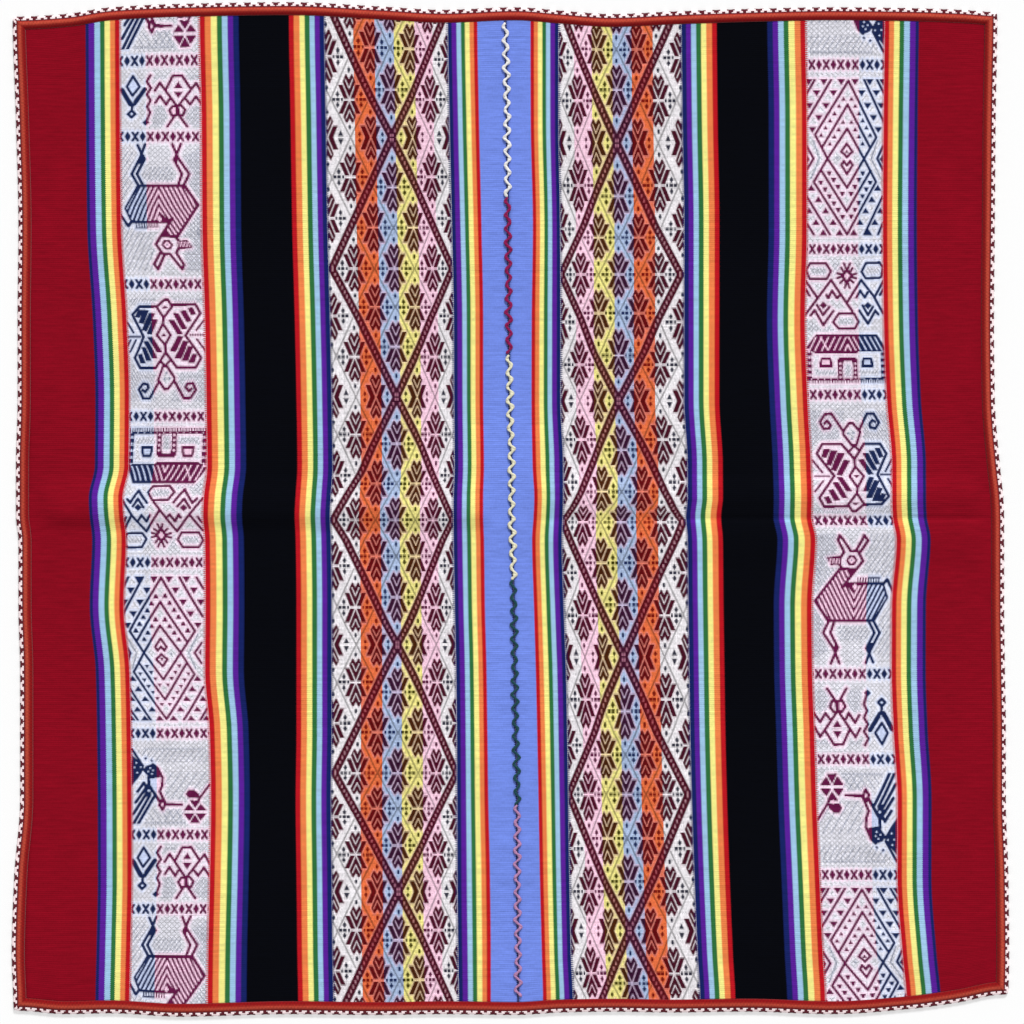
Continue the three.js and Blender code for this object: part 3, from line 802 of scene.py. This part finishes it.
def draw_bird(block):
    """A long-billed bird at a round flower of six petals, its wings up and its tail spread."""
    for petal in (
        ((238, 86), (350, 80), (298, 190)), ((366, 118), (436, 214), (318, 214)),
        ((320, 276), (436, 276), (384, 356)), ((298, 318), (366, 420), (246, 410)),
        ((160, 276), (276, 276), (226, 358)), ((160, 214), (272, 214), (222, 122)),
        ((252, 472), (388, 468), (422, 520), (392, 576), (330, 578), (268, 522)),
    ):
        block.fill(*petal)
        block.line(15, *petal, petal[0])
    block.line(30, (262, 420), (238, 470), (118, 668))
    block.dot(310, 442, 30, value=TINT)
    block.line(30, (475, 354), (690, 360))
    block.line(42, (590, 358), (700, 362))
    block.ring(32, (724, 280), (772, 350), (738, 432), (694, 368), inner=TINT)
    block.fill((775, 540), (800, 520), (915, 690), (900, 760), (765, 765), (750, 640), value=TINT)
    for width, points in (
        (32, ((692, 375), (772, 560), (742, 650), (740, 770), (812, 925), (872, 978))),
        (38, ((765, 400), (925, 668))), (36, ((845, 478), (1040, 66))), (36, ((900, 500), (1102, 66))),
        (36, ((928, 562), (1110, 212))), (36, ((950, 622), (1084, 392))), (36, ((984, 692), (1064, 558))),
        (34, ((948, 620), (985, 696))), (34, ((915, 660), (925, 780))), (30, ((1000, 950), (1150, 1206))),
    ):
        block.line(width, *points)
    block.fill((880, 480), (962, 470), (975, 600), (930, 690), (886, 560))
    block.dot(915, 572, 22, value=TINT)
    block.fill((768, 775), (905, 756), (962, 830), (1004, 884), (962, 952), (872, 988), (820, 930))
    block.fill((985, 905), (1062, 762), (1150, 636), (1155, 1130), (1080, 1050), (1002, 965))
    for x, y in ((880, 830), (868, 884), (930, 868), (905, 920), (1030, 935), (1112, 930), (1075, 850),
                 (1090, 1000)):
        block.dot(x, y, 15, value=TINT)
    block.dot(885, 1030, 20)
    block.dot(970, 1066, 22)
    block.hatch([(250, 430), (700, 430), (720, 850), (90, 850)], 108, 0.56, width=12)
    block.hatch([(120, 1000), (870, 1010), (1120, 1190), (130, 1190)], 80, 0.6, width=12)
    block.hatch([(430, 110), (700, 110), (700, 300), (430, 300)], 84, 0.6)
    block.hatch([(430, 110), (960, 110), (830, 300), (560, 300)], 96, -0.6)
    for x0, x1, y in ((420, 960, 62), (180, 1010, 1196)):
        block.hatch([(x0, y), (x1, y), (x1, y + 38), (x0, y + 38)], 26, 0.3)


# The blocks: the drawing, x of the band's inner edge at the block's top, middle and bottom, the
# band's width, and the span down, all in the drawing's own units.
BLOCKS = {
    "crosses": (draw_crosses, (0, 0, 0), 65, (-2.6, 2.6)),
    "diamonds": (draw_diamonds, (43, 36, 26), 706, (47, 1430)),
    "mountains": (draw_mountains, (58, 62, 66), 1257, (113, 1222)),
    "house": (draw_house, (58, 68, 80), 1250, (70, 841)),
    "butterfly": (draw_butterfly, (74, 112, 112), 966, (140, 1334)),
    "deer": (draw_deer, (100, 60, 66), 866, (69, 1494)),
    "frog": (draw_frog, (82, 95, 108), 1104, (111, 912)),
    "bird": (draw_bird, (88, 108, 125), 1038, (82, 1270)),
}
# Each panel's blocks from the top of the cloth to its bottom: the first pick, the last, and where the
# block isn't even, its bow and its lean. Then the middle picks of its rows of crosses.
PANEL_BLOCKS = {
    "left": [
        ("bird", -27.0, 15.4, 0, (0.8, 0.8, 0.8)), ("frog", 28.3, 53.8, 0, (0.3, 0.8, 0.8)),
        ("deer", 61.9, 125.0, 0, (2.8, -0.4, -1.3)), ("butterfly", 139.6, 189.7, 0, (0, 1.6, 2.8)),
        ("house", 204.0, 231.2, 0, (0, 0.4, 0.8)), ("mountains", 231.2, 263.4, 0, (-1.6, -0.8, -0.8)),
        ("diamonds", 278.1, 348.6, 2.8, (0, -3.0, -1.2)), ("bird", 361.5, 400.0), ("frog", 412.0, 438.0),
        ("deer", 446.5, 505.5),
    ],
    "right": [
        ("bird", -26.4, 19.1), ("diamonds", 30.6, 107.1), ("mountains", 121.0, 155.5),
        ("house", 157.0, 181.0), ("butterfly", 195.7, 245.2), ("deer", 256.6, 321.1),
        ("frog", 333.0, 361.5), ("bird", 376.0, 421.5), ("diamonds", 433.2, 505.5),
    ],
}
PANEL_CROSSES = {
    "left": [21.5, 58.5, 132.0, 197.8, 270.5, 355.6, 406.0, 443.0],
    "right": [23.0, 114.5, 187.0, 249.7, 326.0, 368.5, 426.0],
}


def spread(mask, steps):
    """A mask grown by that many cells up, down and to both sides."""
    wide = mask.copy()
    for _ in range(steps):
        grown = wide.copy()
        grown[:, 1:] |= wide[:, :-1]
        grown[:, :-1] |= wide[:, 1:]
        grown[1:] |= wide[:-1]
        grown[:-1] |= wide[1:]
        wide = grown
    return wide


def averaged(colours, rows, columns, rough):
    """Colours of a fine chart averaged into rows and columns of faces, with the slight unevenness of
    hand-spun yarn: each warp, each row and each face has its own small change of brightness."""
    fine_rows, fine_columns = colours.shape[:2]
    mean = colours.reshape(rows, fine_rows // rows, columns, fine_columns // columns, 3).mean((1, 3))
    shade = (1 + 0.04 * rng.standard_normal((1, columns)) + 0.03 * rng.standard_normal((rows, 1))
             + rough * rng.standard_normal((rows, columns)))
    return mean * np.clip(shade, 0.6, 1.25)[..., None]


def figure_colours(panel):
    """Colour of every face of a figure band. The white ground has a fine diaper of small grey steps
    and takes a tint of pink or blue near a figure."""
    chart = np.zeros((2 * FIGURE_ROWS, GRAIN * FIGURE_WARPS), int)
    rows = [("crosses", at - 2.6, at + 2.6) for at in PANEL_CROSSES[panel]]
    for name, first, last, *uneven in PANEL_BLOCKS[panel] + rows:
        bow, lean = uneven or (0, (0, 0, 0))
        draw, edge, width, y_span = BLOCKS[name]
        draw(Block(chart, first, last, bow, lean, edge, width, y_span, panel == "left"))
    row, column = np.mgrid[0:chart.shape[0], 0:chart.shape[1]]
    warp, pick = column / GRAIN, row * PICKS / len(chart)
    wine = (FIGURE_WARPS - warp <= WINE_WARPS)[..., None]
    dark = np.where(wine, INK["wine"], INK["figure navy"])
    pale = np.where(wine, INK["pink tint"], INK["blue tint"])
    colours = np.broadcast_to(INK["white"], dark.shape).copy()
    across, rise = warp.astype(int), (1.6 * pick).astype(int)
    diaper = ((across + rise) % 4 == 0) | ((across - rise) % 4 == 0)
    figure, hair = chart == FIGURE, chart == HAIR
    wide = spread(figure, 8)
    colours[diaper & ~wide] *= 0.5
    colours = np.where(hair[..., None], INK["hair"], colours)
    colours = np.where((wide & ~hair)[..., None], 0.85 * colours + 0.15 * pale, colours)
    near = spread(figure, 4) & ~hair
    colours = np.where(near[..., None], 0.5 * colours + 0.5 * pale, colours)
    colours = np.where((chart == TINT)[..., None], 0.15 * colours + 0.85 * pale, colours)
    colours = np.where(figure[..., None], dark, colours)
    return averaged(colours, FIGURE_ROWS, FIGURE_WARPS, 0.08)


# Levels of a lattice band, as the pick and the phase of the net there: its two ropes cross at every
# 128 of phase and touch the band's edges half way between.
ROPE_TURNS = {
    "left": [(-5.3, -64), (40.0, -19.6), (58.9, 0), (124.3, 64), (149.5, 90.4), (188.2, 128), (212.4, 153.2),
             (225.8, 165.7), (236.9, 178.4), (249.4, 192), (259.7, 204.4), (273.6, 217.9), (287.4, 231.3),
             (301.6, 244.8), (311.4, 256), (325.0, 270.3), (375.4, 320), (398.8, 346.4), (434.4, 384),
             (463.2, 413.1), (497.8, 448)],
    "right": [(-8.5, -64), (37.8, -22.0), (61.8, 0), (90.6, 26.5), (102.5, 37.1), (127.2, 64), (149.9, 87.7),
              (165.0, 101.0), (190.1, 128), (211.6, 149.6), (235.4, 172), (242.6, 180.4), (250.4, 192),
              (274.0, 215.1), (317.6, 256), (338.3, 275.0), (355.9, 289.6), (386.0, 320), (427.2, 357.5),
              (453.9, 384), (478.6, 406.2), (521.0, 448)],
}
LATTICE_MIDDLE = 68.0  # warps from the band's outer edge to the line where the ropes cross
FINE_WARPS, FINE_WARP = 44, 0.885  # warps next to the band's inner edge lie closer together
# Ground stripes of a lattice band from its outer edge: warps, ground, figures on it, small marks on
# it, and the share of rose that the ground takes beside a figure.
LATTICE_STRIPES = [
    (30, "E2DEE2", "420E20", "30303E", 0.12), (22, "DE6C40", "5C080C", "74120A", 0.2),
    (20, "A4B6D6", "32102C", "1C2A54", 0.42), (22, "E6DC86", "421E08", "3E3A06", 0.36),
    (21, "F2C8DC", "480A22", "5A2040", 0.14), (18, "E2DEE2", "420E20", "30303E", 0.12),
]


def lattice_chart(turns):
    """Cells of a lattice band from their distance q to the line where the ropes cross and s to the
    nearest crossing. Flowers of two buds and four leaves stand in a net of diamonds, inside and
    outside the ropes. y runs from a flower's middle up or down, x to either side."""
    pick = (np.arange(GRAIN * LATTICE_ROWS)[:, None] + 0.5) * PICKS / (GRAIN * LATTICE_ROWS)
    phase = np.interp(pick, *zip(*turns))
    s = np.abs((phase + 64) % 128 - 64)
    warp = (np.arange(GRAIN * LATTICE_WARPS)[None, :] + 0.5) / GRAIN
    q = np.abs(warp - LATTICE_MIDDLE)
    chart = np.zeros((GRAIN * LATTICE_ROWS, GRAIN * LATTICE_WARPS), int)
    inner = q < 1.01 * s
    for distance, where in ((q + s - 44.6, inner), (q + s - 85, inner), (s - q - 43.5, inner),
                            (q + s - 42.7, ~inner), (q - s - 42.7, ~inner), (q + s - 82.5, ~inner)):
        chart[(np.abs(distance) < 0.9) & where] = HAIR
    flowers = [(0, 24.3), (20.7, 44), (0, 64), (41.5, 64), (43.3, 19.4), (66.5, 39.4), (21.7, 0), (66.5, 0)]
    for number, (flower_q, flower_s) in enumerate(flowers):
        merged = flower_s == 0
        x, y = np.abs(q - flower_q), np.abs(s - flower_s)
        rise = y + 1.0 if merged else y
        if merged:
            leaf = (x < 6.0 + 0.82 * y) & (x > 0.6 + 0.86 * y) & (y < 5.9)
        else:
            leaf = (x < 5.2 + 0.87 * y) & (x > 0.5 + 0.86 * y) & (y > 0.5) & (y < 7.2)
        bud = (x < np.minimum(0.86 * y - 0.75, 6.7 - 0.92 * (rise - 8.7))) & (rise < 12.0)
        bud &= x > 1.05 * (rise - 9.8)
        bud &= ~((np.abs(x - 0.92 * (rise - 5.5)) < 0.55) & (rise > 5.3) & (rise < 9.7))
        chart[leaf | bud] = FIGURE
        marks = (x / 1.5) ** 2 + ((y - (13.1 if merged else 14.1)) / 1.2) ** 2 < 1
        if not merged:
            dash = (y < 0.85) & ((np.abs(x - 7.8) < 1.0) | (np.abs(x - 12) < 1.8) | (np.abs(x - 16.1) < 1.7))
            marks |= dash | (np.abs(x - 12.2) / 2.2 + np.abs(y - 2.7) / 1.6 < 1)
        chart[marks] = MARK
    for eye in (9.6, 33.2):
        chart[np.abs(q - eye) / 1.9 + np.abs(s - 1.6) / 1.4 < 1] = MARK
    chart[(np.abs(q - 52.9) < 3.0 - 0.95 * (s - 0.7)) & (s > 0.7)] = MARK
    rope = q - 1.01 * s
    beat = (s / 2.3) % 1 - 0.5
    chart[np.abs(rope) < 5.6] = GROUND
    chart[np.abs(rope) < 4.6] = FIGURE
    chart[(np.abs(rope + 2.6 * beat) < 0.85) & (np.abs(beat) < 0.34)] = DASH
    return chart, np.abs(rope) < 4.6


def lattice_colours(turns):
    """Colour of every face of a lattice band. The ground takes a rose tinge beside a figure, and
    more of it in a thin line between two dark warps."""
    chart, rope = lattice_chart(turns)
    ground, dark, mark = (
        np.concatenate([np.tile(linear(row[k]), (GRAIN * row[0], 1)) for row in LATTICE_STRIPES])[None]
        for k in (1, 2, 3))
    share = np.concatenate([np.full(GRAIN * row[0], row[4]) for row in LATTICE_STRIPES])[None, :, None]
    figure = (chart == FIGURE)[..., None]
    reach = 4
    beside = np.zeros(figure.shape, bool)
    left = np.any([figure[:, k:k - 2 * reach - 1] for k in range(reach)], axis=0)
    right = np.any([figure[:, k + reach + 1:figure.shape[1] - reach + k] for k in range(reach)], axis=0)
    beside[:, reach:reach + left.shape[1]] = left[:, :right.shape[1]] & right[:, :left.shape[1]]
    near = (1 - share) * ground + share * INK["rose"]
    tinge = 0.86 * ((1 - 1.4 * share) * ground + 1.4 * share * INK["rose"])
    colours = np.where(spread(chart == FIGURE, 4)[..., None], near, ground)
    colours = np.where(beside, tinge, colours)
    colours = np.where((chart == HAIR)[..., None], 0.4 * ground, colours)
    colours = np.where((chart == DASH)[..., None], 0.3 * tinge + 0.5 * INK["rope light"], colours)
    colours = np.where((chart == MARK)[..., None], mark, colours)
    colours = np.where(figure, np.where(rope[..., None], 0.6 * dark + 0.4 * INK["maroon"], dark), colours)
    return averaged(colours, LATTICE_ROWS, LATTICE_WARPS, 0.09)


# The panels

def uv_of(a, level):
    """Woven place on the map: distance across and level, each as a share of what the map takes in."""
    return np.stack([a / MAP_ACROSS, (level + MAP_DOWN / 2) / MAP_DOWN], axis=-1)


def surface(panel, a, level):
    """Grid of places and the height of the cloth's underside there."""
    a, level = np.meshgrid(a, level)
    x, y = woven_place(panel, a, level)
    return x, y, lift_at(x, y) + ripple_at(x, y), uv_of(a, level)


PANEL_STEPS = (13, 8, 16, 8, 10, 8, 24, 6, 6)  # columns between two lines of the weave
CREASE_TOP, CREASE_BOTTOM = 32, -40


def plain_panel(panel, material):
    """The striped sheet of a panel, from under the lip of the braid to the seam. Its columns keep to
    the lines of the weave, and its rows are close together over the cross crease."""
    stops = [CLOTH_INSET] + [line[0] for line in LINES] + [PANEL_WIDTH]
    a = np.concatenate([np.linspace(*pair, count, endpoint=False)
                        for pair, count in zip(zip(stops, stops[1:]), PANEL_STEPS)] + [[PANEL_WIDTH]])
    level = np.concatenate([np.linspace(TOP_ROW, CREASE_TOP, 92, endpoint=False),
                            np.linspace(CREASE_TOP, CREASE_BOTTOM, 90, endpoint=False),
                            np.linspace(CREASE_BOTTOM, BOTTOM_ROW, 92)])
    x, y, lift, uv = surface(panel, a, level)
    piece = closed_sheet(f"{panel}_panel_cloth", x, y, lift, lift + CLOTH_THICKNESS, material, uv, 3,
                         panel == "right")
    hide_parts(f"{panel}_panel")
    return piece


def band(panel, name, span, edges, colours, material, step):
    """A patterned band as a thin closed slab sunk in its panel, with a colour for every face."""
    a = span[0] + edges * (span[1] - span[0])
    level = np.linspace(TOP_ROW, BOTTOM_ROW, len(colours) + 1)
    x, y, lift, uv = surface(panel, a, level)
    top = lift + CLOTH_THICKNESS + BAND_PROUD
    piece = closed_sheet(f"{panel}_{name}", x, y, top - BAND_DEPTH, top, material, uv, step,
                         panel == "right", colours.reshape(-1, 3))
    return piece


panel_wool = panel_material()
figure_wool = band_material("figure band wool", FIGURE_WARP, FIGURE_BAND, "red")
lattice_wool = band_material("lattice band wool", LATTICE_WARP, LATTICE_BAND, "navy")
figure_edges = 1 - figure_shares(np.arange(FIGURE_WARPS + 1))
figure_edges = BAND_TRIM + figure_edges * (1 - 2 * BAND_TRIM)
lattice_edges = np.cumsum([0.0] + [1.0] * (LATTICE_WARPS - FINE_WARPS) + [FINE_WARP] * FINE_WARPS)
lattice_edges = BAND_TRIM + (1 - 2 * BAND_TRIM) * lattice_edges / lattice_edges[-1]
for side, flat in (("left", (0.286, 0.585)), ("right", (0.284, 0.585))):
    cloth = plain_panel(side, panel_wool)
    figures = band(side, "figure_band", FIGURE_BAND, figure_edges, figure_colours(side), figure_wool, 13)
    lattice = band(side, "lattice_band", LATTICE_BAND, lattice_edges,
                   lattice_colours(ROPE_TURNS[side]), lattice_wool, 19)


# The braid

BRAID_PITCH = 8.4  # of the hourglass marks along the outer strip
BRAID_STEP = 0.95
STRIP_WIDTH = 2.75
RIB_PITCH, RIB_LEAN = 2.1, 3.2  # the roll's ribs along the edge, and across it for the same phase
# Braid profile as distance in from the outer edge and height, walked from the underside outwards,
# over the strip and the roll, and back under the lip.
BRAID_PROFILE = [
    (5.75, 0.0), (3.0, 0.0), (0.7, 0.05), (0.15, 0.5), (0.0, 1.1), (0.3, 1.65), (0.8, 1.95), (1.3, 2.05),
    (1.8, 2.1), (2.25, 2.1), (2.75, 2.1), (3.1, 2.4), (3.6, 2.8), (4.3, 3.05), (5.1, 3.05), (5.9, 2.85),
    (6.6, 2.55), (7.2, 2.1), (7.7, 1.6), (7.65, 1.55), (5.8, 1.55),
]
# the faces under the strip and the lip are coloured a darker rust, as painted shade
UNDER_FACES = [0, 1, 19, 20]  # faces of the profile that lie under the strip and the lip


def tube_faces(rings, corners, closed):
    """Corner rows of the faces along a tube, also from its last ring to its first if it is closed."""
    j, i = np.mgrid[0:rings if closed else rings - 1, 0:corners]
    near, far, after = j * corners, (j + 1) % rings * corners, (i + 1) % corners
    return np.stack([near + i, far + i, far + after, near + after], axis=-1).reshape(-1, 4)


def outline():
    """The outline as a closed line, clockwise from the top left, even steps along each side, with
    each corner rounded by averaging neighbouring points."""
    count = 400
    share = np.linspace(0, 1, count, endpoint=False)

    def meet(edge, line):
        point = np.array([edge(0.0), 0.0])
        for _ in range(6):
            point[1] = line(point[0])
            point[0] = edge(point[1])
        return point

    corners = [meet(*pair) for pair in ((left_edge, top_edge), (right_edge, top_edge),
                                        (right_edge, bottom_edge), (left_edge, bottom_edge))]
    sides = []
    for k, edge in enumerate((top_edge, right_edge, bottom_edge, left_edge)):
        axis = k % 2
        start, end = corners[k][axis], corners[(k + 1) % 4][axis]
        along = start + share * (end - start)
        sides.append(np.column_stack([edge(along), along] if axis else [along, edge(along)]))
    points = np.concatenate(sides)
    for _ in range(3):
        points = (np.roll(points, 1, 0) + 2 * points + np.roll(points, -1, 0)) / 4
    return points


def even_steps(points, step):
    """A closed line cut again into even steps, and the distance along it."""
    ring = np.concatenate([points, points[:1]])
    travel = np.concatenate([[0], np.cumsum(np.hypot(*np.diff(ring, axis=0).T))])
    count = int(round(travel[-1] / step))
    at = np.linspace(0, travel[-1], count, endpoint=False)
    return np.column_stack([np.interp(at, travel, ring[:, k]) for k in (0, 1)]), at, travel[-1]


def braid_paint(distance, inset, pitch):
    """Colour of the braid's faces. On the outer strip a maroon mark opens outwards once each pitch and a bump
    stands between the marks; the roll is deep red with a painted highlight in rust along its top, and slanted
    ribs with painted shade in their grooves and painted highlight on their tops."""
    beat = np.abs((distance / pitch) % 1 - 0.5)  # nought at a mark, a half between two
    depth = inset / STRIP_WIDTH
    mark = beat < 0.07 + 0.24 * (1 - depth / 0.85)
    bump = (0.5 - beat < 0.11) & (depth > 0.5)
    strip = np.where((mark | bump | (depth > 0.82))[..., None], INK["braid maroon"], INK["braid white"])
    # painted highlight: a lighter rust band along the top of the roll, where it stands highest
    crest = np.exp(-((inset - 4.2) / 1.1) ** 2)[..., None]
    rib = 0.5 + 0.5 * np.sin(2 * math.pi * (distance / RIB_PITCH + inset / RIB_LEAN))
    roll = INK["deep red"] + (INK["rust"] - INK["deep red"]) * crest
    # painted shade and highlight: the roll's colour is lighter where its ribs stand up and darker in the
    # grooves between them, in step with the relief in edge_braid
    roll = roll * (0.84 + 0.28 * rib[..., None])
    return np.where((depth < 1)[..., None], strip, roll)


def edge_braid(material):
    """The braid as one closed ring: its profile is carried round the outline, each corner drawn in
    a little, and the roll rises and falls with the ribs."""
    path, at, length = even_steps(outline(), BRAID_STEP)
    pitch = length / round(length / BRAID_PITCH)
    ahead = np.roll(path, -1, 0) - np.roll(path, 1, 0)
    ahead /= np.hypot(*ahead.T)[:, None]
    across = inward = np.column_stack([ahead[:, 1], -ahead[:, 0]])
    for _ in range(10):
        inward = (np.roll(inward, 1, 0) + 2 * inward + np.roll(inward, -1, 0)) / 4
    sharp = 1 / np.maximum(np.abs(np.sum(inward * across, 1)), 0.7)
    inset, height = np.array(BRAID_PROFILE).T[:, None, :]
    rib = np.sin(2 * math.pi * (at[:, None] / RIB_PITCH + inset / RIB_LEAN))
    on_roll = smooth((inset - 3.0) / 0.8) * smooth((7.9 - inset) / 0.6) * (height > 2.2)
    lobes = 0.10 * np.cos(2 * math.pi * at / pitch * 2)[:, None] * smooth(1 - inset / 1.5)
    reach = inset * sharp[:, None] + 0.12 + lobes * (height > 0.2)
    x = path[:, :1] + inward[:, :1] * reach
    y = path[:, 1:] + inward[:, 1:] * reach
    z = height + 0.10 * rib * on_roll
    rings, corners = z.shape
    faces = tube_faces(rings, corners, True)[:, [0, 3, 2, 1]]
    colours = braid_paint((at + BRAID_STEP / 2)[:, None], (inset + np.roll(inset, -1)) / 2, pitch)
    # painted shade: the faces under the strip and the lip take a darker rust
    colours[:, UNDER_FACES] = INK["rust underside shade"]
    shade = np.clip(1 + 0.05 * rng.standard_normal((rings, corners, 1)), 0.85, 1.15)
    piece = new_piece("edge_braid", np.column_stack([x.ravel(), y.ravel(), z.ravel()]), faces.tolist(),
                      material, colours=(colours * shade).reshape(-1, 3))
    for name in ("left", "right", "top", "bottom"):
        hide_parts(f"braid_{name}")


def braid_material():
    """Tightly worked wool: the colour of each loop in the attribute, with fine fibres over it."""
    material, tree, shader = wool("edge braid wool", 0.9, 0.15)
    yarn = node(tree, "ShaderNodeAttribute", attribute_name="yarn")
    amount = weighted(tree, 0.78, (fibres(tree, shader, 1900.0), 0.44))
    tree.links.new(shaded(tree, yarn.outputs["Color"], amount), shader.inputs["Base Color"])
    return material


edge_braid(braid_material())


# The seam: each yarn's name, its two ends, its thickness, how heavy its right side is, its colour.
SEAM_YARNS = [
    ("white", 287.0, 184.5, 2.2, 0.15, "EDEBE8"), ("crimson", 184.0, 91.5, 2.2, 0.0, "8C1250"),
    ("ochre", 91.0, -41.0, 2.3, 0.35, "E6E2C4"), ("green", -41.5, -174.0, 1.9, 0.0, "1B464C"),
    ("pink", -174.5, -288.0, 2.0, 0.1, "B583AD"),
]
STITCH_PITCH = 8.2  # along the seam, from one lobe to the next on the same side
SEAM_REACH = 2.5  # a yarn's outermost reach to either side of the seam


def yarn_material(name, colour):
    """Plied yarn of one colour, darker and paler with its fibres."""
    material, tree, shader = wool(f"{name} seam yarn", 0.85, 0.2)
    tone = node(tree, "ShaderNodeValToRGB")
    for element, place, share in zip(tone.color_ramp.elements, (0.3, 0.7), (0.68, 1.12)):
        element.position = place
        element.color = (*np.minimum(linear(colour) * share, 1.0), 1.0)
    tree.links.new(fibres(tree, shader, 1500.0), tone.inputs["Fac"])
    tree.links.new(tone.outputs["Color"], shader.inputs["Base Color"])
    return material


def seam_yarn(name, start, end, thickness, heavy, colour):
    """A plied yarn that winds from side to side over the seam: its middle stays by one side, then
    crosses over quickly, thinner there than on the sides. A heavy yarn bulges more on its right. Its
    section has two lobes that turn once every three thicknesses."""
    count = int((start - end) / 0.28)
    level = np.linspace(start, end, count)
    turn = 2 * math.pi * (level - start) / STITCH_PITCH
    sway = np.tanh(1.7 * np.sin(turn)) / 0.935
    x = seam_line(level) + (SEAM_REACH - thickness / 2) * sway * (1 + 0.14 * np.sin(turn / 4.7))
    y = level + 0.5 * np.sin(2 * turn)
    z = CLOTH_THICKNESS + lift_at(x, y) + thickness * (0.36 + 0.10 * np.cos(2 * turn))
    middle = np.column_stack([x, y, z])
    run = np.gradient(middle, axis=0)
    steps = np.linalg.norm(run, axis=1)
    travel = np.cumsum(steps)
    run /= steps[:, None]
    beside = np.cross(run, (0.0, 0.0, 1.0))
    beside /= np.linalg.norm(beside, axis=1)[:, None]
    over = np.cross(beside, run)
    corners = 12
    angle = np.linspace(0, 2 * math.pi, corners, endpoint=False)[None, :]
    twist = (2 * math.pi * travel / (3 * thickness))[:, None]
    taper = np.sqrt(np.clip(np.minimum(travel, travel[-1] - travel) / 0.8, 0.05, 1))[:, None]
    uneven = 1 + 0.16 * np.sin(0.37 * turn + 1.1) * np.sin(0.93 * turn)
    lobe = ((0.64 + 0.38 * np.abs(sway) * (1 + heavy * sway)) * uneven)[:, None]
    radius = thickness / 2 * (0.92 + 0.16 * np.cos(2 * (angle - twist))) * taper * lobe
    points = (middle[:, None, :]
              + beside[:, None, :] * (radius * np.cos(angle))[..., None]
              + over[:, None, :] * (radius * np.sin(angle) * 0.8)[..., None])
    last = (count - 1) * corners
    faces = tube_faces(count, corners, False).tolist()
    faces += [list(range(corners)), list(range(last + corners - 1, last - 1, -1))]
    piece = new_piece(f"seam_stitches_{name}", points.reshape(-1, 3), faces, yarn_material(name, colour))
    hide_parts(f"seam_{name}")


for yarn in SEAM_YARNS:
    seam_yarn(*yarn)


# Floor, light and camera

def floor_piece():
    """A pale floor just under the cloth, with a faint glow that keeps the shadows on it light."""
    material = bpy.data.materials.new("pale floor")
    material.use_nodes = True
    shader = material.node_tree.nodes["Principled BSDF"]
    shader.inputs["Base Color"].default_value = (0.5, 0.5, 0.5, 1)
    shader.inputs["Emission Color"].default_value = (1.0, 1.0, 1.0, 1)
    shader.inputs["Emission Strength"].default_value = 0.44
    shader.inputs["Roughness"].default_value = 0.9
    shader.inputs["Specular IOR Level"].default_value = 0.1
    mesh = bpy.data.meshes.new("floor")
    size, level = 6.0, -0.0002
    mesh.from_pydata([(-size, -size, level), (size, -size, level), (size, size, level), (-size, size, level)],
                     [], [(0, 1, 2, 3)])
    mesh.materials.append(material)
    floor = bpy.data.objects.new("floor", mesh)
    bpy.context.scene.collection.objects.link(floor)


def soft_sun(name, direction, strength, width):
    """A wide soft light from far away, at an azimuth from +Y and a height over the floor."""
    light = bpy.data.lights.new(name, "SUN")
    light.energy, light.angle = strength, math.radians(width)
    lamp = bpy.data.objects.new(name, light)
    azimuth, elevation = (math.radians(value) for value in direction)
    lamp.rotation_euler = (elevation - math.pi / 2, 0.0, azimuth)
    bpy.context.scene.collection.objects.link(lamp)


floor_piece()
world = bpy.context.scene.world or bpy.data.worlds.new("studio")
bpy.context.scene.world = world
world.use_nodes = True
world.node_tree.nodes["Background"].inputs["Color"].default_value = (1.0, 1.0, 1.0, 1.0)
world.node_tree.nodes["Background"].inputs["Strength"].default_value = 0.6
soft_sun("key", (-15, 35), 2.7, 14)
bpy.context.scene.view_settings.view_transform = "Standard"

CAMERA_HEIGHT, SENSOR = 3.0, 36.0
PICTURE_WIDTH = 0.60416  # of what the picture takes in, in metres
camera_data = bpy.data.cameras.new("camera")
camera_data.sensor_width = SENSOR
camera_data.lens = SENSOR * CAMERA_HEIGHT / PICTURE_WIDTH
camera = bpy.data.objects.new("camera", camera_data)
camera.location = (0.0009, -0.0015, CAMERA_HEIGHT + 0.002)
bpy.context.scene.collection.objects.link(camera)
bpy.context.scene.camera = camera
